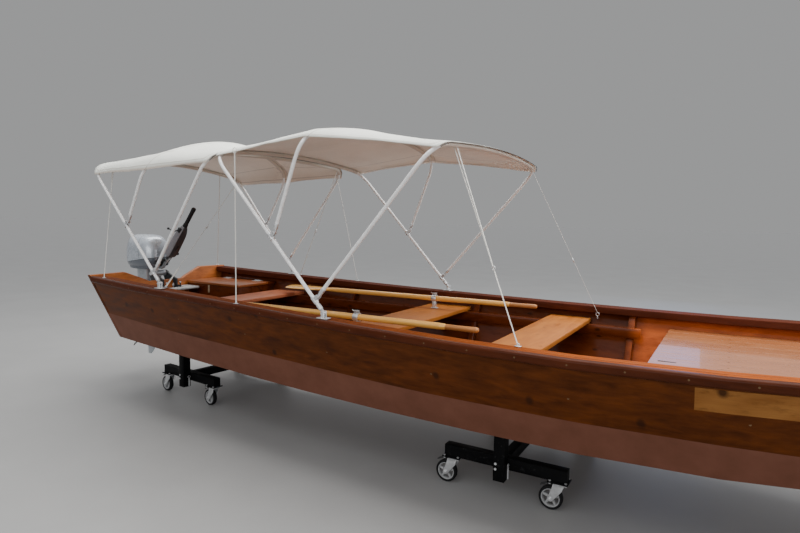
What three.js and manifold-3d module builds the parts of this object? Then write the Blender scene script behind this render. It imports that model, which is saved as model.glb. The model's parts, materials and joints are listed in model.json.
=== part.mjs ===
import * as THREE from 'three';
import { mergeVertices } from 'three/addons/utils/BufferGeometryUtils.js';
import Module from 'manifold-3d';

// A flat-bottomed wooden river ferry, 7.8 m over all with its outboard motor up aft, parked on two
// wheeled dollies. Millimetres. +X points to the bow, +Y to port, +Z up, and the floor is z = 0.
// The boat, its awnings and its dollies are each symmetric about y = 0 in their own frames.

const wasm = await Module();
wasm.setup();

// Colours, roughness and metalness of each material.
const varnish = { color: 0x9a4f20, roughness: 0.3, metalness: 0 };
const varnishLight = { color: 0xc98144, roughness: 0.35, metalness: 0 };
const oarWood = { color: 0xd9a04c, roughness: 0.4, metalness: 0 };
const hullPaint = { color: 0x9c6553, roughness: 0.6, metalness: 0 };
const canvasCloth = { color: 0xd8d2c4, roughness: 0.95, metalness: 0 };
const tubeAlloy = { color: 0xd4d6d8, roughness: 0.35, metalness: 0.9 };
const steel = { color: 0xb8babd, roughness: 0.4, metalness: 0.9 };
const blackSteel = { color: 0x1b1b1d, roughness: 0.55, metalness: 0.4 };
const cowlGrey = { color: 0xb9bec4, roughness: 0.3, metalness: 0.3 };
const castingGrey = { color: 0x70767c, roughness: 0.5, metalness: 0.4 };
const blackPlastic = { color: 0x26272a, roughness: 0.6, metalness: 0 };
const trayGrey = { color: 0xa9adb0, roughness: 0.6, metalness: 0 };
const wheelRubber = { color: 0x232325, roughness: 0.8, metalness: 0 };

const seam = 0.3; // gap between touching pieces

// Hull lines. Each station: x of the plank's top edge, x of its foot on the chine (these differ only at
// the raked ends), half beam over the rail, height of the rail's top, half width of the flat bottom,
// and height of the bottom's underside.
const stations = [
  { xTop: -3483.4, xFoot: -3393.6, beam: 616, rail: 865, floor: 440, keel: 411 },
  { xTop: -3000, xFoot: -3000, beam: 652, rail: 847, floor: 468, keel: 397 },
  { xTop: -2600, xFoot: -2600, beam: 674, rail: 836, floor: 491, keel: 380 },
  { xTop: -2090, xFoot: -2090, beam: 701, rail: 823, floor: 517, keel: 362 },
  { xTop: -1600, xFoot: -1600, beam: 731, rail: 811, floor: 539, keel: 351.5 },
  { xTop: -1100, xFoot: -1100, beam: 763, rail: 801.5, floor: 557, keel: 346 },
  { xTop: -600, xFoot: -600, beam: 788, rail: 795, floor: 566, keel: 345 },
  { xTop: -113, xFoot: -113, beam: 792, rail: 794.5, floor: 563.5, keel: 346.5 },
  { xTop: 400, xFoot: 400, beam: 766, rail: 801, floor: 543, keel: 363 },
  { xTop: 1000, xFoot: 1000, beam: 704.5, rail: 820.5, floor: 496.5, keel: 410 },
  { xTop: 1700, xFoot: 1700, beam: 605, rail: 856, floor: 418, keel: 492 },
  { xTop: 2300, xFoot: 2300, beam: 501, rail: 893, floor: 336, keel: 572 },
  { xTop: 2900, xFoot: 2900, beam: 380, rail: 936, floor: 245, keel: 660 },
  { xTop: 3450, xFoot: 3400, beam: 256, rail: 981, floor: 164, keel: 738 },
  { xTop: 3802.4, xFoot: 3698.6, beam: 166, rail: 1015, floor: 104, keel: 790 },
];
const plankThickness = 22;
const bottomThickness = 24;
const railWidth = 108;
const railHeight = 42;
const railOverhang = 24; // rail outside the plank
const transomThickness = 36;
const bowBoardThickness = 40;

// Inside the boat.
const thwartTop = 716;
const thwartThickness = 26;
const thwarts = [ // name, aft and forward edge
  { name: 'thwart_aft', aft: -2800, fore: -2560 },
  { name: 'thwart_mid', aft: -1440, fore: -1150 },
  { name: 'thwart_fore', aft: -600, fore: -352 },
];
const deckAft = 100;
const deckFore = 3745;
const deckDrop = 100; // deck surface below the rail's top
const deckThickness = 20;
const riserDepth = 60;
const riserThickness = 24;
const kneePositions = [-2090, -1100, -113];
const kneeWidth = 38;
const kneeDepth = 40;
const floorAft = -2860;
const floorFore = 900;
const floorThickness = 16;
const box = { aft: -3440, fore: -2880, side: 190, top: 775, panel: 18, lidOuter: 500, lidThickness: 20 };

// Outboard motor. Its frame has the tilt tube as origin.
const tiltTube = { x: -3570, z: 838, radius: 13 };
const steerX = -72; // steering axis aft of the tilt tube
const propeller = { x: -222, z: -560, radius: 84, blades: 3 };
const tiller = { x: 122, z: 130, angle: 52, arm: 318, grip: 176 };

// Awnings. A bow is a bent tube: two legs, round shoulders and an arched top.
const tubeRadius = 12.5;
const pivotOffset = 32; // of a secondary bow's pivot from the main bow's tube
const shoulderRadius = 130;
const clothThickness = 10;
const awnings = {
  rear: {
    pivot: [-2716, 874], halfFoot: 624, halfTop: 650,
    main: { length: 980, lean: -41, crown: 105 },
    mid: { at: 480, length: 424, lean: 28.5, crown: 200 },
    front: { at: 90, length: 872, lean: 36.5, crown: 28 },
    hemPoint: 1, // of the shoulder's points, where the cloth's side edge lies
  },
  fore: {
    pivot: [-1343, 836], halfFoot: 708, halfTop: 716,
    main: { length: 1118, lean: -43.5, crown: 80 },
    mid: { at: 505, length: 528, lean: 20.6, crown: 88 },
    front: { at: 82, length: 955, lean: 41.3, crown: 45 },
    hemPoint: 2,
  },
};

// Dollies: centre, turn about z in degrees, distance between the side beams.
const dollies = [
  { name: 'aft', x: -2863, y: 81, turn: -5.6, track: 660 },
  { name: 'fore', x: -495, y: -27, turn: 0.8, track: 760 },
];
const wheel = { radius: 55, width: 30, bore: 6.6 };
const caster = { reach: 262, trail: 35, plateTop: 142 };
const beam = { width: 50, height: 56, half: 300 };
const post = { size: 54, foot: 100 };

const ferry = new THREE.Group();

const lerp = THREE.MathUtils.lerp;
const rad = THREE.MathUtils.degToRad;

function toManifold(geometry) {
  const clean = (geometry.index ? geometry.toNonIndexed() : geometry.clone());
  for (const name of Object.keys(clean.attributes)) {
    if (name !== 'position') clean.deleteAttribute(name);
  }
  const merged = mergeVertices(clean, 1e-3);
  return new wasm.Manifold(new wasm.Mesh({
    numProp: 3,
    vertProperties: new Float32Array(merged.attributes.position.array),
    triVerts: new Uint32Array(merged.index.array),
  }));
}

function toGeometry(manifold) {
  const mesh = manifold.getMesh();
  const geometry = new THREE.BufferGeometry();
  geometry.setAttribute('position', new THREE.BufferAttribute(new Float32Array(mesh.vertProperties), 3));
  geometry.setIndex(new THREE.BufferAttribute(new Uint32Array(mesh.triVerts), 1));
  return geometry;
}

function join(geometries) {
  return toGeometry(geometries.map(toManifold).reduce((sum, part) => sum.add(part)));
}

function cut(geometry, tools) {
  return toGeometry(tools.map(toManifold).reduce((rest, tool) => rest.subtract(tool), toManifold(geometry)));
}

function boxBetween(x0, x1, y0, y1, z0, z1) {
  const geometry = new THREE.BoxGeometry(x1 - x0, y1 - y0, z1 - z0);
  return geometry.translate((x0 + x1) / 2, (y0 + y1) / 2, (z0 + z1) / 2);
}

// Cylinder along 'x', 'y' or 'z', centred at the point.
function rod(axis, radius, length, x, y, z, sides = 16) {
  const geometry = new THREE.CylinderGeometry(radius, radius, length, sides);
  if (axis === 'x') geometry.rotateZ(Math.PI / 2);
  if (axis === 'z') geometry.rotateX(Math.PI / 2);
  return geometry.translate(x, y, z);
}

// Solid through a row of like-numbered flat rings, closed at both ends and facing out.
function loft(rings, capOf = capFaces) {
  const count = rings[0].length;
  const points = rings.flat().map(([x, y, z]) => new THREE.Vector3(x, y, z));
  const faces = [];
  for (let i = 0; i + 1 < rings.length; i++) {
    for (let j = 0; j < count; j++) {
      const a = i * count + j;
      const b = i * count + ((j + 1) % count);
      faces.push([a, b, b + count], [a, b + count, a + count]);
    }
  }
  const last = (rings.length - 1) * count;
  for (const [a, b, c] of capOf(points.slice(0, count))) faces.push([a, c, b]);
  for (const [a, b, c] of capOf(points.slice(last))) faces.push([last + a, last + b, last + c]);
  const geometry = new THREE.BufferGeometry().setFromPoints(points);
  geometry.setIndex(faces.flat());
  return facingOut(geometry);
}

// Turns the faces of a closed geometry over where they face in.
function facingOut(geometry) {
  const position = geometry.attributes.position;
  const corner = (i) => new THREE.Vector3().fromBufferAttribute(position, i);
  const index = Array.from(geometry.index.array);
  let volume = 0;
  for (let i = 0; i < index.length; i += 3) {
    volume += corner(index[i]).dot(corner(index[i + 1]).cross(corner(index[i + 2])));
  }
  if (volume < 0) geometry.setIndex(index.reverse());
  return geometry;
}

// Turned body about x, from a profile of [radius, x] points.
function turned(profile, sides) {
  const lathe = new THREE.LatheGeometry(profile.map(([r, x]) => new THREE.Vector2(r, x)), sides);
  return facingOut(lathe.rotateZ(-Math.PI / 2));
}

// Triangles of a flat ring, wound as the ring is.
function capFaces(ring) {
  const normal = new THREE.Vector3();
  ring.forEach((p, i) => normal.add(new THREE.Vector3().crossVectors(p, ring[(i + 1) % ring.length])));
  const turn = new THREE.Quaternion().setFromUnitVectors(normal.normalize(), new THREE.Vector3(0, 0, 1));
  const flat = ring.map((p) => p.clone().applyQuaternion(turn)).map((p) => new THREE.Vector2(p.x, p.y));
  return THREE.ShapeUtils.triangulateShape(flat, []);
}

// The same for a thin strip, whose ring runs out along one edge and back along the other.
function stripFaces(ring) {
  const last = ring.length - 1;
  return Array.from({ length: ring.length / 2 - 1 }, (_, i) => i)
    .flatMap((i) => [[i, i + 1, last - i - 1], [i, last - i - 1, last - i]]);
}

function add(parent, name, geometry, look, x = 0, y = 0, z = 0) {
  const mesh = new THREE.Mesh(geometry, new THREE.MeshStandardMaterial(look));
  mesh.name = name;
  mesh.position.set(x, y, z);
  parent.add(mesh);
  return mesh;
}

function frameAt(parent, x, y, z) {
  const group = new THREE.Group();
  group.position.set(x, y, z);
  parent.add(group);
  return group;
}

const midway = (s) => (s.xTop + s.xFoot) / 2;
const atFoot = (s) => s.xFoot;

// Hull lines at any x.
function lineAt(x, xOf = midway) {
  const ahead = stations.findIndex((s) => xOf(s) >= x);
  const next = ahead < 0 ? stations.length - 1 : Math.max(1, ahead);
  const [a, b] = [stations[next - 1], stations[next]];
  const t = (x - xOf(a)) / (xOf(b) - xOf(a));
  return {
    beam: lerp(a.beam, b.beam, t), rail: lerp(a.rail, b.rail, t),
    floor: lerp(a.floor, b.floor, t), keel: lerp(a.keel, b.keel, t),
  };
}

// Half breadth of the plank's inner face at the height z.
function innerHalf(x, z) {
  const line = lineAt(x, (s) => lerp(s.xFoot, s.xTop, (z - s.keel) / (s.rail - railHeight - s.keel)));
  const top = line.rail - railHeight;
  const outer = lerp(line.floor, line.beam - railOverhang, (z - line.keel) / (top - line.keel));
  return outer - plankThickness * 1.1;
}

// Sections of the hull's shell, side -1 to starboard and 1 to port.
function plankRing(s, side) {
  const top = s.rail - railHeight - seam;
  const outer = s.beam - railOverhang;
  const inset = plankThickness * 1.08;
  return [
    [s.xFoot, side * s.floor, s.keel],
    [s.xTop, side * outer, top],
    [s.xTop, side * (outer - inset), top],
    [s.xFoot, side * (s.floor - inset), s.keel],
  ];
}

function railRing(s, side) {
  const outer = s.beam;
  const inner = s.beam - railWidth;
  const low = s.rail - railHeight;
  return [
    [s.xTop, side * (outer - 4), low],
    [s.xTop, side * outer, low + 5],
    [s.xTop, side * outer, s.rail - 9],
    [s.xTop, side * (outer - 9), s.rail],
    [s.xTop, side * (inner + 9), s.rail],
    [s.xTop, side * inner, s.rail - 9],
    [s.xTop, side * inner, low + 5],
    [s.xTop, side * (inner + 4), low],
  ];
}

function bottomRing(s) {
  const half = s.floor - plankThickness * 1.08 - seam;
  return [
    [s.xFoot, -half, s.keel],
    [s.xFoot, half, s.keel],
    [s.xFoot, half, s.keel + bottomThickness],
    [s.xFoot, -half, s.keel + bottomThickness],
  ];
}

// The end boards stand outside the planks' ends. Each lies in a plane that leans out with the ends.
function endBoard(s, thickness, outward, topEdge) {
  const lean = (s.xTop - s.xFoot) / (s.rail - railHeight - s.keel);
  const xAt = (z) => s.xFoot + (z - s.keel) * lean;
  const flare = (s.beam - railOverhang - s.floor) / (s.rail - railHeight - s.keel);
  const halfAt = (z) => s.floor + (z - s.keel) * flare;
  const outline = new THREE.Shape();
  outline.moveTo(-s.floor, 0);
  outline.lineTo(s.floor, 0);
  for (const [y, z] of topEdge) outline.lineTo(y === null ? halfAt(z) : y, z - s.keel);
  for (const [y, z] of [...topEdge].reverse()) outline.lineTo(y === null ? -halfAt(z) : -y, z - s.keel);
  outline.closePath();
  const geometry = new THREE.ExtrudeGeometry(outline, { depth: thickness, bevelEnabled: false });
  // The shape's x becomes y, its y becomes z, and the depth runs along x.
  geometry.applyMatrix4(new THREE.Matrix4().set(0, 0, 1, 0, 1, 0, 0, 0, 0, 1, 0, 0, 0, 0, 0, 1));
  const position = geometry.attributes.position;
  for (let i = 0; i < position.count; i++) {
    const z = position.getZ(i) + s.keel;
    const depth = position.getX(i) * outward;
    position.setXYZ(i, xAt(z) + outward * seam + depth, position.getY(i), z);
  }
  if (outward < 0) {
    for (let i = 0; i < position.count; i += 3) {
      const [x, y, z] = [position.getX(i), position.getY(i), position.getZ(i)];
      position.setXYZ(i, position.getX(i + 1), position.getY(i + 1), position.getZ(i + 1));
      position.setXYZ(i + 1, x, y, z);
    }
  }
  return geometry;
}

const hull = frameAt(ferry, 0, 0, 0);
for (const [name, side] of [['starboard', -1], ['port', 1]]) {
  add(hull, `side_${name}`, loft(stations.map((s) => plankRing(s, side))), varnish);
  add(hull, `rail_${name}`, loft(stations.map((s) => railRing(s, side))), varnish);
}
add(hull, 'bottom', loft(stations.map(bottomRing)), hullPaint);

const stern = stations[0];
const bow = stations[stations.length - 1];
const transomEdge = [[null, 872], [345, 876], [190, 812], [150, 792]];
add(hull, 'transom', endBoard(stern, transomThickness, -1, transomEdge), varnish);
const bowBoardTop = [[null, bow.rail - 4], [80, bow.rail + 22]];
add(hull, 'bow_board', endBoard(bow, bowBoardThickness, 1, bowBoardTop), varnish);

// Plank between two x positions that reaches from side to side.
function spanBoard(xs, zAt, thickness, halfAt) {
  return loft(xs.map((x) => {
    const half = halfAt(x, zAt(x) - thickness);
    const [low, high] = [zAt(x) - thickness, zAt(x)];
    return [[x, -half, low], [x, half, low], [x, half, high], [x, -half, high]];
  }));
}

// The given ends with the stations between them.
function withStations(x0, x1) {
  return [x0, ...stations.map((s) => s.xTop).filter((x) => x > x0 + 5 && x < x1 - 5), x1];
}

const fit = (x, z) => innerHalf(x, z) - 5 * seam;
for (const { name, aft, fore } of thwarts) {
  add(hull, name, spanBoard(withStations(aft, fore), () => thwartTop, thwartThickness, fit), varnishLight);
}

const deckXs = withStations(deckAft, deckFore);
const deckHeight = (x) => lineAt(x).rail - deckDrop;
const deckBeams = [deckAft + 20, ...deckXs.slice(1, -1)].map((x) => (
  spanBoard([x - 14, x + 14], () => deckHeight(x) - 6, 56, (at, z) => innerHalf(at, z) - seam)
));
add(hull, 'foredeck', join([spanBoard(deckXs, deckHeight, deckThickness, fit), ...deckBeams]), varnishLight);

const floorXs = withStations(floorAft, floorFore);
const floorTop = (x) => lineAt(x).keel + bottomThickness + seam + floorThickness;
const floorHalf = (x, z) => innerHalf(x, z) - kneeDepth - 12;
add(hull, 'floorboards', spanBoard(floorXs, floorTop, floorThickness, floorHalf), varnish);

// Knees stand against the planks, and a riser runs along them and carries the thwarts.
function knee(x, side) {
  const ends = [lineAt(x - kneeWidth / 2), lineAt(x + kneeWidth / 2)];
  const heights = [
    Math.max(...ends.map((line) => line.keel)) + bottomThickness + seam,
    Math.min(...ends.map((line) => line.rail)) - railHeight - seam,
  ];
  return loft(heights.map((z) => {
    const outer = innerHalf(x - kneeWidth / 2, z) - 3 * seam;
    const ys = [side * outer, side * (outer - kneeDepth)];
    return [[x - kneeWidth / 2, ys[0], z], [x + kneeWidth / 2, ys[0], z],
      [x + kneeWidth / 2, ys[1], z], [x - kneeWidth / 2, ys[1], z]];
  }));
}

function riser(side) {
  const high = thwartTop - thwartThickness - seam;
  const xs = withStations(thwarts[0].aft - 60, kneePositions[2] + 60);
  return loft(xs.map((x) => {
    const outer = innerHalf(x, high - riserDepth) - kneeDepth + 6;
    const inner = outer - riserThickness;
    return [[x, side * outer, high - riserDepth], [x, side * inner, high - riserDepth],
      [x, side * inner, high], [x, side * outer, high]];
  }));
}

for (const [name, side] of [['starboard', -1], ['port', 1]]) {
  add(hull, `framing_${name}`, join([riser(side), ...kneePositions.map((x) => knee(x, side))]), varnish);
}

// Seat box in the port quarter, closed by a lid that is hinged along its outboard edge.
const sternLean = (stern.xTop - stern.xFoot) / (stern.rail - railHeight - stern.keel);
const sternFace = (z) => stern.xFoot + (z - stern.keel) * sternLean;
const onBottom = (x) => lineAt(x, atFoot).keel + bottomThickness + seam;
const boxTop = box.top - box.lidThickness;

function prism(points, depth) {
  const outline = new THREE.Shape(points.map(([x, y]) => new THREE.Vector2(x, y)));
  return new THREE.ExtrudeGeometry(outline, { depth, bevelEnabled: false });
}

// Prism with its outline in x and z, from y0 to y1.
function prismY(points, y0, y1) {
  return prism(points, y1 - y0).rotateX(Math.PI / 2).translate(0, y1, 0);
}

// Prism with its outline in y and z, from x0 to x1.
function prismX(points, x0, x1) {
  return prism(points, x1 - x0).rotateX(Math.PI / 2).rotateZ(Math.PI / 2).translate(x0, 0, 0);
}

const sternFloor = stern.keel + bottomThickness;
const frontPanel = prismY([
  [sternFace(sternFloor) + 2, sternFloor + seam], [-3000, onBottom(-3000)], [box.fore, onBottom(box.fore)],
  [box.fore, boxTop - seam], [sternFace(boxTop) + 1, boxTop - seam],
], box.side, box.side + box.panel);
const endX = box.fore - box.panel;
const endLow = onBottom(endX);
const endPanel = prismX([
  [box.side + 1, endLow], [fit(endX, endLow), endLow], [fit(endX, boxTop), boxTop + 1],
  [box.lidOuter + 6, boxTop + 1], [box.lidOuter + 6, boxTop - seam], [box.side + 1, boxTop - seam],
], endX, box.fore);
const stripAft = sternFace(boxTop) + 1;
const outerStrip = loft([[stripAft, boxTop], [box.fore + 12, boxTop]].map(([x, low]) => {
  const outer = Math.min(fit(x + 30, low), fit(x, low));
  const inner = box.lidOuter + seam;
  return [[x, inner, low], [x, outer, low], [x, outer, box.top], [x, inner, box.top]];
}));
add(hull, 'stern_box', join([frontPanel, endPanel, outerStrip]), varnish);
add(hull, 'stern_box_lid',
  boxBetween(sternFace(boxTop) + 3, box.fore + 12, box.side - 12, box.lidOuter, boxTop, box.top), varnish);

// Grey splash tray ahead of the transom, cut out for the clamp screws.
const tray = {
  aft: sternFace(726) + seam, fore: -3286, starboard: -165, port: box.side - 4, low: 726, top: 738,
};
const trayBoard = boxBetween(tray.aft, tray.fore, tray.starboard, tray.port, tray.low, tray.top);
const trayCut = boxBetween(tray.aft - 10, tray.aft + 84, -86, 86, tray.low - 5, tray.top + 5);
add(hull, 'splash_tray', cut(trayBoard, [trayCut]), trayGrey);

// Level outline, a rounded rectangle between an ellipse and a box.
function roundRing(cx, a, b, z, power = 2.6, count = 24) {
  return Array.from({ length: count }, (_, i) => {
    const angle = (i / count) * 2 * Math.PI;
    const [c, s] = [Math.cos(angle), Math.sin(angle)];
    const squared = (value) => Math.sign(value) * Math.abs(value) ** (2 / power);
    return [cx + a * squared(c), b * squared(s), z];
  });
}

const aftFace = (z) => sternFace(z) - transomThickness - 2 * seam;
const clampJaw = [
  [aftFace(600), 600], [aftFace(793), 793],
  [sternFace(793) + 2 * seam, 793], [sternFace(715) + 2 * seam, 715],
  [sternFace(715) + 26, 715], [sternFace(715) + 24, 800], [-3470, 812], [-3530, 838], [-3548, 854],
  [-3572, 861], [-3592, 850], [-3594, 828], [aftFace(600) - 26, 600],
];
const screw = (y) => [
  rod('x', 6, 78, sternFace(745) + 1 + 39, y, 745, 8),
  rod('z', 4.5, 56, sternFace(745) + 72, y, 745, 8),
];
const clampParts = [prismY(clampJaw, 54, 70), prismY(clampJaw, -70, -54), ...screw(62), ...screw(-62)];
clampParts.push(rod('y', tiltTube.radius, 120, tiltTube.x, 0, tiltTube.z));
add(hull, 'motor_clamp', join(clampParts), castingGrey);

const motor = frameAt(ferry, tiltTube.x, 0, tiltTube.z);
const swivelBlank = join([
  rod('y', 24, 104, 0, 0, 0), rod('z', 25, 250, steerX, 0, -97), boxBetween(steerX, 0, -20, 20, -70, 12),
]);
const swivelBores = [rod('y', tiltTube.radius + 0.8, 130, 0, 0, 0), rod('z', 12.8, 300, steerX, 0, -97)];
add(motor, 'swivel_bracket', cut(swivelBlank, swivelBores), castingGrey);

const head = frameAt(motor, steerX, 0, 0);
const pivot = { x: tiller.x - steerX, z: tiller.z };
const legRings = [[-106, 74, 46, 40], [-106, 74, 46, -300], [-80, 84, 30, -440]];
const steerArm = [
  [-10, 36], [110, 36], [172, 98], [pivot.x - 4, pivot.z - 18], [pivot.x + 14, pivot.z - 12],
  [pivot.x + 16, pivot.z + 8], [pivot.x - 2, pivot.z + 18], [pivot.x - 22, pivot.z + 8], [116, 57], [-10, 57],
];
const gearcase = turned([[0, 60], [14, 54], [28, 32], [35, -5], [34, -90], [24, -137.7], [0, -137.7]], 16);
const skeg = prismY([[-96, 0], [20, 0], [-34, -108], [-88, -112]], -4, 4);
const legParts = [
  rod('z', 12, 326, 0, 0, -107), loft([roundRing(-68, 146, 102, 34), roundRing(-68, 152, 108, 58)]),
  loft(legRings.map(([cx, a, b, z]) => roundRing(cx, a, b, z, 2.2, 16))),
  boxBetween(-100, 16, -26, 26, -262, -236),
  boxBetween(-200, 40, -74, 74, -446, -438), loft([[-60, 84, 18, -440], [-50, 66, 16, -556]].map(
    ([cx, a, b, z]) => roundRing(cx, a, b, z, 2, 12))),
  gearcase.translate(0, 0, propeller.z), skeg.translate(0, 0, propeller.z),
];
const armBore = rod('y', 6.8, 40, pivot.x, 0, pivot.z, 12);
add(head, 'motor_leg', cut(join([...legParts, prismY(steerArm, -9, 9)]), [armBore]), castingGrey);

const cowlRings = [ // centre, half length, half width, height
  [-60, 166, 116, 58.3], [-59, 177, 129, 96], [-61, 176, 128, 186], [-66, 166, 119, 248],
  [-72, 144, 99, 285], [-80, 102, 68, 304], [-84, 50, 34, 309],
];
add(head, 'motor_cowl', loft(cowlRings.map(([cx, a, b, z]) => roundRing(cx, a, b, z))), cowlGrey);

const blade = boxBetween(-2.5, 2.5, -29, 29, 14, propeller.radius).rotateZ(rad(-62));
const blades = Array.from({ length: propeller.blades }, (_, i) => (
  blade.clone().rotateX((i / propeller.blades) * 2 * Math.PI)
));
const hub = turned([[0, 0], [24, 0], [23, -44], [12, -58], [0, -58]], 18).translate(30, 0, 0);
add(head, 'propeller', join([hub, ...blades]), blackPlastic, -168, 0, propeller.z);

const handle = frameAt(head, pivot.x, 0, pivot.z);
handle.rotation.y = -rad(tiller.angle);
const ear = prismY([[-15, -12], [44, -18], [44, 18], [-15, 12]], 9.6, 20);
add(handle, 'tiller_arm', join([
  ear, ear.clone().translate(0, -29.6, 0), rod('y', 6, 38, 0, 0, 0, 12),
  loft([[28, 23, 20], [66, 30, 28], [236, 28, 26], [tiller.arm, 19, 19]].map(([x, b, h]) => (
    [[x, -b, -h], [x, b, -h], [x, b, h], [x, -b, h]]
  ))),
]), blackPlastic);
const gripProfile = [
  [0, 0], [18, 0], [18, 20], [15, 27], [15, 132], [17, 166], [12, tiller.grip], [0, tiller.grip],
];
add(handle, 'tiller_grip', turned(gripProfile, 16), blackPlastic, tiller.arm + seam);

// Centre line of a bow in its own plane, as [y, s] with s from its pivots up, starboard leg first.
function bowLine(halfFoot, halfTop, { length, crown }, start) {
  const archAt = (y) => length + crown * (1 - (y / halfTop) ** 2);
  const legY = (s) => lerp(halfFoot, halfTop, s / length);
  const archEnd = halfTop - shoulderRadius;
  const shoulder = new THREE.QuadraticBezierCurve(
    new THREE.Vector2(legY(length - shoulderRadius), length - shoulderRadius),
    new THREE.Vector2(halfTop, length + crown * 0.12),
    new THREE.Vector2(archEnd, archAt(archEnd)),
  );
  const half = [[legY(start), start], ...shoulder.getPoints(4).map((p) => [p.x, p.y])];
  for (let i = 1; i <= 3; i++) half.push([archEnd * (1 - i / 4), archAt(archEnd * (1 - i / 4))]);
  return [...half.map(([y, s]) => [-y, s]), [0, length + crown], ...half.reverse()];
}

// Outward unit normal of a [y, s] line at its point i.
function lineNormal(line, i) {
  const a = line[Math.max(0, i - 1)];
  const b = line[Math.min(line.length - 1, i + 1)];
  const size = Math.hypot(b[0] - a[0], b[1] - a[1]);
  return [-(b[1] - a[1]) / size, (b[0] - a[0]) / size];
}

function bentTube(line, radius, sides = 8) {
  return loft(line.map(([y, s], i) => {
    const [ny, ns] = lineNormal(line, i);
    return Array.from({ length: sides }, (_, k) => {
      const angle = (k / sides) * 2 * Math.PI;
      const across = radius * Math.cos(angle);
      return [radius * Math.sin(angle), y + ny * across, s + ns * across];
    });
  }));
}

// Flat eye at each pivot of a bow, and the pair of lugs that holds it on the main bow's tube.
const eyeHalf = 6;
const lugInside = eyeHalf + 2 * seam;
const lugPitch = 2 * lugInside + 5;
function eyes(halfFoot, halfTop, length) {
  const tilt = Math.atan2(halfTop - halfFoot, length);
  const eye = boxBetween(-8, 8, -eyeHalf, eyeHalf, -10, 30);
  return [-1, 1].map((side) => eye.clone().rotateX(-side * tilt).translate(0, side * halfFoot, 0));
}

function lugs(y) {
  const lug = boxBetween(-2, pivotOffset + 9, lugInside, lugInside + 5, -9, 9);
  const collar = rod('z', tubeRadius + 3.5, 34, 0, 0, 0, 12);
  return [lug, lug.clone().translate(0, -lugPitch, 0), collar]
    .map((part) => part.translate(0, y, 0));
}

for (const [name, awning] of Object.entries(awnings)) {
  const { halfFoot, halfTop, main, mid, front } = awning;
  const mainFrame = frameAt(ferry, awning.pivot[0], 0, awning.pivot[1]);
  mainFrame.rotation.y = rad(main.lean);
  const legAt = (s) => lerp(halfFoot, halfTop, s / main.length);
  const lugParts = [mid, front].flatMap(({ at }) => (
    [-1, 1].flatMap((side) => lugs(side * legAt(at)).map((part) => part.translate(0, 0, at)))
  ));
  const mainLine = bowLine(halfFoot, halfTop, main, 17);
  add(mainFrame, `${name}_main_bow`, join([
    bentTube(mainLine, tubeRadius), ...eyes(halfFoot, halfTop, main.length), ...lugParts,
  ]), tubeAlloy);
  const bows = [{ bow: main, foot: halfFoot, x: awning.pivot[0], z: awning.pivot[1] }];
  for (const [part, bow] of [['mid', mid], ['front', front]]) {
    const foot = legAt(bow.at);
    const frame = frameAt(mainFrame, pivotOffset, 0, bow.at);
    frame.rotation.y = rad(bow.lean - main.lean);
    add(frame, `${name}_${part}_bow`, join([
      bentTube(bowLine(foot, halfTop, bow, 17), tubeRadius), ...eyes(foot, halfTop, bow.length),
    ]), tubeAlloy);
    const [c, s] = [Math.cos(rad(main.lean)), Math.sin(rad(main.lean))];
    const x = awning.pivot[0] + s * bow.at + c * pivotOffset;
    bows.push({ bow, foot, x, z: awning.pivot[1] + c * bow.at - s * pivotOffset });
  }
  add(ferry, `${name}_canopy`, canopy(bows, halfTop, awning.hemPoint), canvasCloth);
  for (const [sideName, side] of [['starboard', -1], ['port', 1]]) {
    add(ferry, `${name}_hinge_${sideName}`, deckHinge(awning.pivot, side * halfFoot), steel);
  }
}

// Cloth over the bows: its sections lie along x, one at each point of the bows' lines.
function canopy(bows, halfTop, hemPoint) {
  const hem = 18;
  const lines = bows.map(({ bow, foot, x, z }) => {
    const line = bowLine(foot, halfTop, bow, 17).slice(1 + hemPoint, -1 - hemPoint);
    const [c, s] = [Math.cos(rad(bow.lean)), Math.sin(rad(bow.lean))];
    return line.map(([y, along], i) => {
      const [ny, nz] = lineNormal(line, i);
      return { x: x + along * s, y, z: z + along * c, ny, nz };
    });
  });
  const shift = (p, dx, dz) => ({ ...p, x: p.x + dx, z: p.z + dz });
  const rows = [
    lines[0].map((p) => shift(p, -hem, -2)), ...lines, lines[2].map((p) => shift(p, hem, -2)),
  ];
  const at = (p, offset) => [p.x, p.y + p.ny * offset, p.z + p.nz * offset];
  const inner = tubeRadius + 2 * seam;
  return loft(rows[0].map((_, i) => [
    ...rows.map((row) => at(row[i], inner + clothThickness)),
    ...[...rows].reverse().map((row) => at(row[i], inner)),
  ]), stripFaces);
}

// Hinge on the rail that a main bow's eye stands in.
function deckHinge([x, z], y) {
  const railTop = lineAt(x - 32).rail + 2 * seam;
  const lug = boxBetween(-10, 10, lugInside, lugInside + 5, railTop + 2 - z, 10);
  return join([
    boxBetween(-32, 32, -20, 20, railTop - z, railTop + 5 - z), lug, lug.clone().translate(0, -lugPitch, 0),
  ]).translate(x, y, z);
}

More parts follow.
